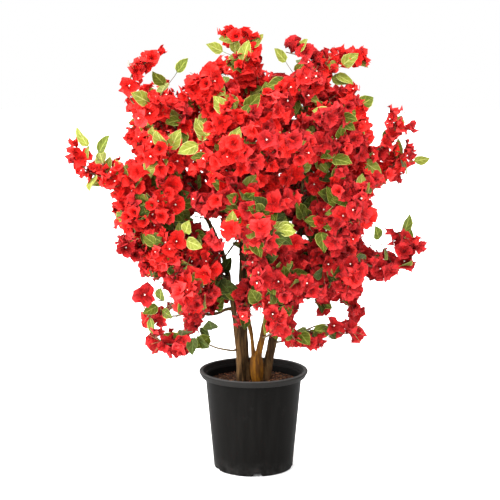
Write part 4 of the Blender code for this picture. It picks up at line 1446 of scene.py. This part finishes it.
def colour_setting(name, description, default):
    return FloatVectorProperty(
        name=name, description=description, default=default,
        subtype="COLOR", size=3, min=0.0, max=1.0,
    )


def number_setting(name, description, default, unit="NONE", subtype="NONE"):
    return FloatProperty(
        name=name, description=description, default=default, unit=unit, subtype=subtype
    )


def length_setting(name, description, default):
    return number_setting(name, description, default, "LENGTH", "DISTANCE")


def count_setting(name, description, default, least=0):
    return IntProperty(name=name, description=description, default=default, min=least)


class PotSettings(bpy.types.PropertyGroup):
    sides: count_setting("Sides", "Sides of the turned pot", 144, 24)
    plastic: colour_setting("Plastic", "The pot's black", (0.0036, 0.0034, 0.0031))
    # The colour of scuffs and dusty marks, and also of the painted highlights on the rim and the
    # painted floor reflection at the foot.
    wear_and_highlight: colour_setting("Worn", "Scuffs and dust on the pot", (0.026, 0.0250, 0.0240))
    chip_count: count_setting("Chips", "Chips of the fill's topping", 2600)
    chip_length: length_setting("Chip length", "Mean length of a chip", 0.0082)
    chip: colour_setting("Chip", "The topping's brown", (0.130, 0.056, 0.023))


class WoodSettings(bpy.types.PropertyGroup):
    ring_step: length_setting("Ring step", "Distance between the rings of a stem's mesh", 0.0035)
    relief: length_setting("Relief", "Depth of the bark's furrows", 0.0011)
    bark_dark: colour_setting("Bark, dark", "The dark bark's furrows", (0.027, 0.0135, 0.0045))
    bark_light: colour_setting("Bark, light", "The dark bark's ridges", (0.158, 0.086, 0.033))
    pale_dark: colour_setting("Pale wood, dark", "The pale stem's furrows", (0.062, 0.0225, 0.002))
    pale_light: colour_setting("Pale wood, light", "The pale stem's ridges", (0.205, 0.080, 0.0045))
    twig: colour_setting("Twig", "The woody twigs", (0.150, 0.105, 0.055))
    sprig: colour_setting("Sprig", "The green wire of the sprigs", (0.190, 0.200, 0.060))


class CrownSettings(bpy.types.PropertyGroup):
    bract: length_setting("Bract", "Length of a bract", BRACT_LENGTH)
    crumple: length_setting("Crumple", "How far the silk is crumpled", 0.00088)
    bright: colour_setting("Bright red", "Most of the blossom", (0.790, 0.008, 0.005))
    rose: colour_setting("Rose red", "The pinker sprays", (0.790, 0.014, 0.013))
    # Deep red is the silk's darker tone, dealt mostly as painted shade low down and on the right.
    deep: colour_setting("Deep red", "The darker sprays", (0.510, 0.009, 0.010))
    stamen: colour_setting("Stamen", "The dot in the open blossom", (0.900, 0.860, 0.760))
    leaf_mid: colour_setting("Leaf", "Most of the leaves", (0.084, 0.108, 0.006))
    # Lime leaves are dealt more high up and on the left as painted light; the shaded leaves are
    # painted shade, dealt inside the crown and low down.
    leaf_lime: colour_setting("Lime leaf", "The lime leaves", (0.190, 0.212, 0.024))
    leaf_dark: colour_setting("Shaded leaf", "The leaves inside the crown", (0.038, 0.050, 0.003))
    tuft: colour_setting("Tuft", "The curled tendrils", (0.330, 0.260, 0.110))


class StageSettings(bpy.types.PropertyGroup):
    floor: colour_setting("Floor", "The pale floor", (0.90, 0.90, 0.90))
    floor_glow: number_setting("Floor glow", "The floor's own light", 0.04)
    daylight: number_setting("Daylight", "The surround's strength at the upper left", 4.2)
    shade: number_setting("Shade", "The surround's strength at the lower right", 0.0)
    key: number_setting("Key light", "Power of the light at the upper left", 34.0, "POWER")
    front: number_setting("Front light", "Power of the soft light by the camera", 8.0, "POWER")
    side: number_setting("Side light", "Power of the low light on the left", 70.0, "POWER")
    top: number_setting("Top light", "Power of the wide light above", 70.0, "POWER")
    lens: number_setting("Lens", "Focal length", 109.7, "CAMERA")


class PlantSettings(bpy.types.PropertyGroup):
    pot: PointerProperty(type=PotSettings)
    wood: PointerProperty(type=WoodSettings)
    crown: PointerProperty(type=CrownSettings)
    stage: PointerProperty(type=StageSettings)


# Operators.


class MakeStage(bpy.types.Operator):
    """Adds the camera, the lights and the floor"""

    bl_idname = "plant.make_stage"
    bl_label = "Stage"

    def execute(self, context):
        settings = context.scene.plant.stage
        deselect()
        bpy.ops.object.camera_add(location=FRONT_EYE, rotation=(CAMERA_PITCH, 0.0, 0.0))
        camera = context.object
        camera.data.lens = settings.lens
        camera.data.sensor_width = SENSOR_WIDTH
        camera.data.clip_end = CAMERA_REACH
        context.scene.camera = camera
        for name, (place, size) in LIGHTS.items():
            aim = (AIM - Vector(place)).to_track_quat("-Z", "Y").to_euler()
            bpy.ops.object.light_add(type="AREA", location=place, rotation=aim)
            light = context.object
            light.name = light.data.name = f"{name}_light"
            light.data.shape = "DISK"
            light.data.size = size
            light.data.energy = getattr(settings, name)
        deselect()
        low = (0.0, 0.0, -FLOOR_DROP)
        bpy.ops.mesh.primitive_circle_add(
            vertices=FLOOR_SIDES, radius=FLOOR_RADIUS, fill_type="NGON", location=low
        )
        floor = context.object
        floor.name = floor.data.name = "floor"
        paint = Finish("floor_paint", Specular_IOR_Level=0.0)
        cloud = paint.cloud(2.0)
        paint.colour(paint.blend(rgba(settings.floor), rgba(settings.floor, 0.985), cloud))
        paint.roughness(0.9 + 0.05 * cloud)
        paint.feed(paint.shader.inputs["Emission Color"], (1.0, 1.0, 1.0, 1.0))
        paint.feed(paint.shader.inputs["Emission Strength"], settings.floor_glow)
        floor.data.materials.append(paint.made)
        self.surround(context, settings.shade, settings.daylight)
        context.scene.view_settings.view_transform = "Standard"
        return {"FINISHED"}

    def surround(self, context, shade, daylight):
        """White at full strength to the camera. It lights the plant most from the upper left."""
        world = bpy.data.worlds.new("studio")
        world.use_nodes = True
        context.scene.world = world
        nodes, links = world.node_tree.nodes, world.node_tree.links
        back = nodes["Background"]
        back.inputs["Color"].default_value = (1.0, 1.0, 1.0, 1.0)
        place = nodes.new("ShaderNodeTexCoord")
        slope = nodes.new("ShaderNodeVectorMath")
        slope.operation = "DOT_PRODUCT"
        slope.inputs[1].default_value = LIGHT_FROM
        links.new(place.outputs["Generated"], slope.inputs[0])
        light = nodes.new("ShaderNodeMapRange")
        light.inputs["From Min"].default_value = -1.0
        light.inputs["To Min"].default_value = shade
        light.inputs["To Max"].default_value = daylight
        links.new(slope.outputs["Value"], light.inputs["Value"])
        seen = nodes.new("ShaderNodeLightPath")
        power = nodes.new("ShaderNodeMapRange")
        power.inputs["To Max"].default_value = 1.0
        links.new(light.outputs["Result"], power.inputs["To Min"])
        links.new(seen.outputs["Is Camera Ray"], power.inputs["Value"])
        links.new(power.outputs["Result"], back.inputs["Strength"])


def inner_radius(height):
    """The radius of the pot wall's inner face below the ledge."""
    share = height / POT_SHOULDER_HEIGHT
    return POT_FOOT_RADIUS + (POT_SHOULDER_RADIUS - POT_FOOT_RADIUS) * share - POT_WALL


def arc(middle, radius, first, last, steps):
    """Points of an arc in the outline's plane, by angles in degrees."""
    angles = [math.radians(first + (last - first) * k / steps) for k in range(steps + 1)]
    return [(middle[0] + radius * math.cos(a), middle[1] + radius * math.sin(a)) for a in angles]


class MakePot(bpy.types.Operator):
    """Turns the nursery pot and cuts its drain notches"""

    bl_idname = "plant.make_pot"
    bl_label = "Pot"

    def execute(self, context):
        settings = context.scene.plant.pot
        pot = lathe(self.outline(), settings.sides)
        for k in range(DRAIN_COUNT):
            self.cut(pot, self.notch(k))
        hold(pot)
        bpy.ops.object.shade_smooth_by_angle(angle=math.radians(32.0))
        plastic = pot_finish("pot_plastic", settings.plastic, settings.wear_and_highlight)
        finish_piece(pot, "pot_shell", [plastic], ["pot"])
        return {"FINISHED"}

    def outline(self):
        """From the underside up the wall, over the rolled rim and down to the inside floor."""
        ledge = POT_HEIGHT - LEDGE_DROP
        floor = CHANNEL_DEPTH + POT_WALL
        foot = arc((POT_FOOT_RADIUS - 0.0058, 0.0066), 0.0066, -90.0, -6.0, 6)
        wall = []
        widening = POT_SHOULDER_RADIUS - POT_FOOT_RADIUS - 0.0006
        for share in (0.04, 0.06, 0.5, 0.94, 0.99):
            height = WALL_LOW + (LIP_HEIGHT - WALL_LOW) * share
            wall.append((POT_FOOT_RADIUS + 0.0008 + widening * share, height))
        lip = [
            (POT_SHOULDER_RADIUS + 0.0009, LIP_HEIGHT + 0.0004),
            (POT_RIM_RADIUS - 0.0080, LIP_HEIGHT + 0.0008),
            (POT_RIM_RADIUS - 0.0066, LIP_HEIGHT + 0.0013),
            (POT_RIM_RADIUS - 0.0056, LIP_HEIGHT + 0.0026),
            (POT_RIM_RADIUS - 0.0038, LIP_HEIGHT + 0.0062),
            (POT_RIM_RADIUS - 0.0020, LIP_HEIGHT + 0.0098),
        ]
        crest = arc((POT_RIM_RADIUS - 0.0040, POT_HEIGHT - 0.0040), 0.0040, -24.0, 100.0, 10)
        wall_in = inner_radius(ledge)
        inside = [
            (POT_RIM_RADIUS - 0.0088, POT_HEIGHT - 0.0006),
            (POT_RIM_RADIUS - 0.0100, POT_HEIGHT - 0.0012),
            (POT_RIM_RADIUS - 0.0106, POT_HEIGHT - 0.0026),
            (wall_in + LEDGE_WIDTH + 0.0010, ledge + 0.0034),
            (wall_in + LEDGE_WIDTH + 0.0004, ledge + 0.0022),
            (wall_in + LEDGE_WIDTH, ledge + 0.0008),
            (wall_in + 0.0006, ledge + 0.0004),
            (wall_in, ledge - 0.0006),
            (inner_radius(floor), floor),
        ]
        under = [
            (CHANNEL_INNER_RADIUS, 0.0),
            (CHANNEL_INNER_RADIUS + 0.004, CHANNEL_DEPTH),
            (CHANNEL_OUTER_RADIUS, CHANNEL_DEPTH),
            (CHANNEL_OUTER_RADIUS + 0.003, 0.0),
        ]
        return under + foot + wall + lip + crest + inside

    def notch(self, index):
        """A wedge for one drain notch."""
        deselect()
        low, high = -0.004, DRAIN_HEIGHT
        near, far = CHANNEL_OUTER_RADIUS - 0.012, POT_FOOT_RADIUS + 0.012
        middle = 0.5 * (near + far)
        slope = (DRAIN_BOTTOM_WIDTH - DRAIN_TOP_WIDTH) / DRAIN_HEIGHT
        width = DRAIN_BOTTOM_WIDTH - slope * low
        bpy.ops.mesh.primitive_cube_add(size=1.0)
        wedge = bpy.context.object
        wedge.scale = (far - near, width, high - low)
        wedge.location = (middle, 0.0, 0.5 * (low + high))
        bpy.ops.object.transform_apply(location=True, rotation=False, scale=True)
        bpy.ops.object.mode_set(mode="EDIT")
        bpy.ops.mesh.select_all(action="DESELECT")
        bpy.ops.object.mode_set(mode="OBJECT")
        for vertex in wedge.data.vertices:
            vertex.select = vertex.co.z > 0.0
        bpy.ops.object.mode_set(mode="EDIT")
        taper = (1.0, DRAIN_TOP_WIDTH / width, 1.0)
        bpy.ops.transform.resize(value=taper, center_override=(middle, 0.0, high))
        bpy.ops.object.mode_set(mode="OBJECT")
        wedge.rotation_euler = (0.0, 0.0, DRAIN_FIRST_AZIMUTH + math.tau * index / DRAIN_COUNT)
        bpy.ops.object.transform_apply(location=False, rotation=True, scale=False)
        return wedge

    def cut(self, pot, wedge):
        hold(pot)
        step = pot.modifiers.new("notch", "BOOLEAN")
        step.operation = "DIFFERENCE"
        step.solver = "EXACT"
        step.object = wedge
        bpy.ops.object.modifier_apply(modifier=step.name)
        bpy.data.objects.remove(wedge)


class MakeFill(bpy.types.Operator):
    """Fills the pot and strews the chips on top"""

    bl_idname = "plant.make_fill"
    bl_label = "Fill"

    def execute(self, context):
        settings = context.scene.plant.pot
        low = CHANNEL_DEPTH + POT_WALL + GAP
        edge = inner_radius(FILL_EDGE_HEIGHT) - 2 * GAP
        rings = [(inner_radius(low) - 2 * GAP, low), (edge, FILL_EDGE_HEIGHT - BED_EDGE_DROP)]
        rings += [(radius, FILL_TOP_HEIGHT - BED_DROP) for radius in BED_RINGS]
        bed = lathe(rings, BED_SIDES)
        for vertex in bed.data.vertices:
            if vertex.co.z > FILL_EDGE_HEIGHT - 0.5 * BED_EDGE_DROP:
                vertex.co.z += BED_SWELL * noise.noise(vertex.co * BED_SWELLS)
        # Painted shade: the bed between the chips is the chips' brown darkened.
        shade = plain_finish("chip_shade", rgba(settings.chip, 0.45), 0.85, 0.4)
        finish_piece(bed, "fill_bed", [shade], ["fill"])
        tones = []
        for k, gain in enumerate(CHIP_GAINS):
            tones.append(plain_finish(f"chip_{k}", rgba(settings.chip, gain), 0.8, 0.5))
        finish_piece(self.chips(settings), "fill_chips", tones)
        return {"FINISHED"}

    def chips(self, settings):
        """Many small angular chips, lying every way."""
        deselect()
        bpy.ops.mesh.primitive_ico_sphere_add(subdivisions=1, radius=0.5)
        pattern = pattern_of(bpy.context.object)
        draw = np.random.RandomState(7)
        count = settings.chip_count
        reach = inner_radius(FILL_EDGE_HEIGHT) - CHIP_EDGE_GAP
        radius = reach * np.sqrt(draw.uniform(0.0, 1.0, count))
        angle = draw.uniform(0.0, math.tau, count)
        drop = np.clip((radius - FILL_FLAT_RADIUS) / (reach - FILL_FLAT_RADIUS), 0.0, 1.0)
        height = FILL_TOP_HEIGHT - CHIP_SINK - drop * (FILL_TOP_HEIGHT - FILL_EDGE_HEIGHT)
        height += draw.uniform(*CHIP_LIFTS, count)
        bases = np.stack([radius * np.cos(angle), radius * np.sin(angle), height], axis=1)
        axes = draw.normal(0.0, CHIP_TILT, (count, 3)) + [0.0, 0.0, 1.0]
        axes /= np.linalg.norm(axes, axis=1)[:, None]
        frames = frames_for(axes, draw.uniform(0.0, math.tau, count))
        sizes = settings.chip_length * draw.uniform(*CHIP_SIZES, count)[:, None]
        sizes = sizes * draw.uniform(*CHIP_STRETCH, (count, 3)) * CHIP_SHAPE
        frames = frames * sizes[:, None, :]
        jitter = draw.normal(0.0, CHIP_CRUMPLE, (count, len(pattern[0]), 3))
        tones = draw.choice(len(CHIP_SHARES), count, p=CHIP_SHARES)
        thing = copies_mesh("fill_chips", [(pattern, frames, bases, tones, jitter)])
        thing.data.polygons.foreach_set("use_smooth", [False] * len(thing.data.polygons))
        return thing


class MakeStems(bpy.types.Operator):
    """Grows the stems, boughs and bare side twigs with their bark"""

    bl_idname = "plant.make_stems"
    bl_label = "Stems"

    def execute(self, context):
        settings = context.scene.plant.wood
        limbs = all_limbs()
        bark = bark_finish("bark", settings.bark_dark, settings.bark_light, 0.0016, 0.78)
        pale = bark_finish("pale_bark", settings.pale_dark, settings.pale_light, 0.0018, 0.66)
        for stem in STEMS:
            names = [stem.name] + [bough.name for bough in BOUGHS if bough.parent == stem.name]
            spurs = [knots for carrier, knots in SPURS if carrier == stem.name]
            made = self.grow([limbs[name] for name in names], spurs, settings)
            finish_piece(made, f"{stem.name}_bark", [bark], names)
        names = [PALE_STUMP.name] + [arm.name for arm in PALE_ARMS]
        made = self.grow([limbs[name] for name in names], [], settings)
        finish_piece(made, "stem_pale_bark", [pale], names)
        return {"FINISHED"}

    def grow(self, limbs, spurs, settings):
        """One piece of a stem and all that it carries, with its bark in relief."""
        lines = []
        for limb in limbs:
            rings = max(12, int(length_of(limb.points) / settings.ring_step))
            knots = list(limb.points)
            radii = [radius + BARK.get(limb.name, 0.0) for radius in limb.radii]
            if limb.name == PALE_STUMP.name:
                radii = STUMP_RADII
                share = (STUMP_TOP - knots[0].z) / (knots[-1].z - knots[0].z)
                knots = [at_share(knots, share * k / 4)[0] for k in range(5)]
            if limb.name.startswith("pale_arm"):
                knots[0] = knots[0].lerp(limbs[0].points[-1], 0.5) - Vector((0.0, 0.0, ARM_ROOT))
                radii[0] *= ARM_SWELL
            if limb.name.startswith("bough"):
                knots[0] = knots[0] - BOUGH_ROOT * (knots[1] - knots[0]).normalized()
                radii[0] *= BOUGH_SWELL
            shares = np.linspace(0.0, 1.0, rings)
            known = np.linspace(0.0, 1.0, len(radii))
            lines.append((curve(knots, rings), np.interp(shares, known, radii), 0))
        for knots in spurs:
            lines.append((curve(knots, SPUR_RINGS), np.linspace(*SPUR_RADII, SPUR_RINGS), 0))
        thing = tubes(lines, STEM_ROUNDNESS)
        normals = [vertex.normal.copy() for vertex in thing.data.vertices]
        for vertex, normal in zip(thing.data.vertices, normals):
            place = vertex.co
            if place.z < FILL_TOP_HEIGHT + 0.001 and abs(normal.z) > 0.3:
                continue
            furrow = FURROW_SHARE * noise.fractal(place * FURROWS, 0.8, 2.0, 3)
            relief = settings.relief * (furrow + SWELL_SHARE * noise.noise(place * SWELLS))
            vertex.co = place + relief * Vector((normal.x, normal.y, UPRIGHT_RELIEF * normal.z))
        return thing


class MakeSprays(bpy.types.Operator):
    """Grows the leaders, twigs and sprigs of every mass"""

    bl_idname = "plant.make_sprays"
    bl_label = "Twigs"

    def execute(self, context):
        settings = context.scene.plant.wood
        dark, light = rgba(settings.twig, 0.6), rgba(settings.twig, 1.5)
        finishes = [
            bark_finish("twig_bark", dark, light, 0.0008, 0.8),
            plain_finish("sprig_wire", settings.sprig, 0.6),
        ]
        for group in GROUPS:
            lines = []
            for spray in all_sprays():
                if spray.mass.startswith(group) and spray.kind in LINE_RADII:
                    leads = spray.kind == "leader"
                    rings = LEADER_WOOD_RINGS if leads else SPRAY_WOOD_RINGS
                    radii = np.linspace(*LINE_RADII[spray.kind], rings)
                    lines.append((curve(spray.line, rings), radii, 0 if leads else 1))
            finish_piece(tubes(lines, TWIG_ROUNDNESS), f"{group}_twigs", finishes)
        return {"FINISHED"}


def in_group(group, table):
    """The rows of all masses of a group."""
    return [row for name, rows in table.items() if name.startswith(group) for row in rows]


class MakeBlossom(bpy.types.Operator):
    """Hangs the blossom: three silk bracts each, and a stamen in some"""

    bl_idname = "plant.make_blossom"
    bl_label = "Blossom"

    def execute(self, context):
        settings = context.scene.plant.crown
        finishes = [
            # Each silk's last colour is its lighter edge, partly a painted highlight.
            silk_finish("silk_bright", settings.bright, 0.58, (0.92, 0.055, 0.046)),
            silk_finish("silk_rose", settings.rose, 0.58, (0.93, 0.085, 0.080)),
            # Deep red is mostly painted shade, low down and on the right of the crown.
            silk_finish("silk_deep", settings.deep, 0.50, (0.66, 0.045, 0.050)),
        ]
        stamens = [
            plain_finish("stamen_dot", settings.stamen, 0.5, 0.1),
            plain_finish("stamen_pin", (0.75, 0.30, 0.22), 0.5, 0.2),
        ]
        kinds = [(opening, k) for opening in range(len(OPENINGS)) for k in range(VARIANTS)]
        patterns = [self.blossom(*kind, settings.bract) for kind in kinds]
        pin, dot = self.stamen()
        for seed, group in enumerate(GROUPS):
            draw = np.random.RandomState(seed)
            rows = in_group(group, crown().blooms)
            batches = []
            for (opening, variant), pattern in zip(kinds, patterns):
                some = [row for row in rows if row.opening == opening][variant::VARIANTS]
                frames, bases = self.hung(some)
                uneven = draw.uniform(0.9, 1.1, (len(some), 1, 3))
                frames = frames * uneven * np.array([row.size for row in some])[:, None, None]
                tones = np.array([row.tone for row in some])
                jitter = draw.normal(0.0, settings.crumple, (len(some), len(pattern[0]), 3))
                batches.append((pattern, frames, bases, tones, jitter))
            thing = copies_mesh(f"{group}_blossom", batches)
            replaced = [name for name in frame["nodes"] if name.startswith(group + "_")]
            finish_piece(thing, f"{group}_blossom", finishes, replaced)
            some = [row for row in rows if row.opening < CLOSED and draw.uniform() < STAMEN_SHARE]
            frames, bases = self.hung(some)
            still = np.zeros((len(some), 1, 3))
            tones = np.zeros(len(some), int)
            batches = [(dot, frames, bases, tones, still), (pin, frames, bases, tones + 1, still)]
            thing = copies_mesh(f"{group}_stamens", batches)
            finish_piece(thing, f"{group}_stamens", stamens)
        return {"FINISHED"}

    def hung(self, rows):
        """The turning matrices and the bases of blossoms."""
        frames = frames_for([row.axis for row in rows], np.array([row.spin for row in rows]))
        return frames, rows_of(row.base for row in rows)

    def blossom(self, opening, variant, length):
        """Three ruffled bracts of one opening, overlapping at their feet."""
        foot, tip = (math.radians(angle) for angle in OPENINGS[opening])
        steps = BRACT_STEPS
        reach, rise = [0.0], [0.0]
        for k in range(steps):
            lean = foot + (tip - foot) * ((k + 0.5) / steps) ** 0.8
            reach.append(reach[-1] + math.sin(lean) * length / steps)
            rise.append(rise[-1] + math.cos(lean) * length / steps)
        parts = []
        for k in range(3):
            turn = np.array(Matrix.Rotation(math.tau * k / 3, 3, "Z"))

            def shape(u, v, wide, phase=2.1 * k + 1.3 * variant):
                out, up = (np.interp(v * steps, range(steps + 1), row) for row in (reach, rise))
                cup = out + CUP_RADIUS
                wave = math.sin(RUFFLE_TURN * v + phase + (2.6 if u > 0.0 else 0.0))
                angle = u * wide * BRACT_HALF_WIDTH * (1.0 + 0.08 * wave) / cup
                ruffle = RUFFLE * abs(u) ** 1.6 * (0.25 + v) * wave
                crease = CREASE * (1.0 - abs(u)) * v
                out -= 0.55 * cup * (1.0 - math.cos(angle))
                return out - 0.5 * ruffle, cup * math.sin(angle), up + ruffle - crease

            vertices, faces, places = sheet_pattern(BRACT_COLUMNS, BRACT_ROWS, shape)
            parts.append((vertices @ turn.T, faces, places))
        return joined(parts)

    def stamen(self):
        """The pin and the round dot on it."""
        deselect()
        radius, low, high = PIN
        bpy.ops.mesh.primitive_cylinder_add(vertices=3, radius=radius, depth=high - low)
        pin = pattern_of(bpy.context.object, 0.5 * (low + high))
        radius, low, high = DOT
        bpy.ops.mesh.primitive_ico_sphere_add(subdivisions=1, radius=radius)
        return pin, pattern_of(bpy.context.object, 0.5 * (low + high))


class MakeLeaves(bpy.types.Operator):
    """Hangs the cloth leaves"""

    bl_idname = "plant.make_leaves"
    bl_label = "Leaves"

    def execute(self, context):
        settings = context.scene.plant.crown
        finishes = [
            leaf_finish("leaf_mid", settings.leaf_mid, (0.34, 0.39, 0.07), (0.60, 0.60, 0.15)),
            leaf_finish("leaf_lime", settings.leaf_lime, (0.50, 0.52, 0.16), (0.58, 0.56, 0.22)),
            # The shaded leaves are painted shade, inside the crown and low down.
            leaf_finish("leaf_dark", settings.leaf_dark, (0.12, 0.19, 0.045), (0.18, 0.25, 0.06)),
        ]
        pattern = sheet_pattern(LEAF_COLUMNS, LEAF_ROWS, self.shape)
        for seed, group in enumerate(GROUPS):
            draw = np.random.RandomState(100 + seed)
            rows = in_group(group, crown().leaves)
            frames = []
            for row in rows:
                up = square_to(row.up, row.along)
                frames.append(row.length * np.stack([row.along, row.along.cross(up), up], axis=1))
            bases = rows_of(row.base for row in rows)
            tones = np.array([row.tone for row in rows])
            jitter = draw.normal(0.0, LEAF_CRUMPLE, (len(rows), len(pattern[0]), 3))
            batch = (pattern, np.array(frames), bases, tones, jitter)
            thing = copies_mesh(f"{group}_leaves", [batch])
            finish_piece(thing, f"{group}_leaves", finishes)
        return {"FINISHED"}

    def shape(self, u, v, wide):
        """A leaf one unit long, folded a little along its rib, its tip hanging."""
        half = LEAF_HALF_WIDTH / LEAF_LENGTH * wide
        wave = LEAF_WAVE * abs(u) * math.sin(9.0 * v + (1.0 if u > 0.0 else 0.0))
        return v, u * half, LEAF_FOLD * abs(u) * half - LEAF_HANG * v * v + wave


class MakeTufts(bpy.types.Operator):
    """Adds the curled tendrils at some leaders' ends"""

    bl_idname = "plant.make_tufts"
    bl_label = "Tufts"

    def execute(self, context):
        settings = context.scene.plant.crown
        lines = []
        for name, leader in all_leaders().items():
            draw = random.Random("tuft " + name)
            if draw.random() > TUFT_SHARE:
                continue
            start, along = at_share(leader.points, draw.uniform(*TUFT_PLACES))
            for _ in range(TUFT_THREADS):
                side = around(along, draw.uniform(0.0, math.tau))
                way = way_from(start, along, side, TUFT_WAY)
                length = draw.uniform(*TUFT_LENGTHS)
                bend = length * draw.uniform(*TUFT_BENDS)
                bend = bend * around(way, draw.uniform(0.0, math.tau))
                middle = start + 0.5 * length * way + 0.3 * bend
                points = curve([start, middle, start + length * way + bend], TUFT_RINGS)
                lines.append((points, np.linspace(*TUFT_RADII, TUFT_RINGS), 0))
        tuft = plain_finish("tuft_thread", settings.tuft, 0.7)
        finish_piece(tubes(lines, THREAD_ROUNDNESS), "tufts", [tuft])
        return {"FINISHED"}


class PlantPanel(bpy.types.Panel):
    bl_label = "Bougainvillea"
    bl_idname = "VIEW3D_PT_bougainvillea"
    bl_space_type = "VIEW_3D"
    bl_region_type = "UI"
    bl_category = "Bougainvillea"

    def draw(self, context):
        for operator in OPERATORS:
            self.layout.operator(operator.bl_idname)
        for group in ("pot", "wood", "crown", "stage"):
            settings = getattr(context.scene.plant, group)
            box = self.layout.box()
            for name in settings.__annotations__:
                box.prop(settings, name)


SETTINGS = (PotSettings, WoodSettings, CrownSettings, StageSettings, PlantSettings)
OPERATORS = (
    MakeStage, MakePot, MakeFill, MakeStems, MakeSprays, MakeBlossom, MakeLeaves, MakeTufts
)
CLASSES = (*SETTINGS, *OPERATORS, PlantPanel)


def register():
    for some in CLASSES:
        bpy.utils.register_class(some)
    bpy.types.Scene.plant = PointerProperty(type=PlantSettings)


def unregister():
    del bpy.types.Scene.plant
    for some in reversed(CLASSES):
        bpy.utils.unregister_class(some)


def main():
    register()
    bpy.ops.plant.make_stage()
    bpy.ops.plant.make_pot()
    bpy.ops.plant.make_fill()
    bpy.ops.plant.make_stems()
    bpy.ops.plant.make_sprays()
    bpy.ops.plant.make_blossom()
    bpy.ops.plant.make_leaves()
    bpy.ops.plant.make_tufts()


if __name__ == "__main__":
    main()
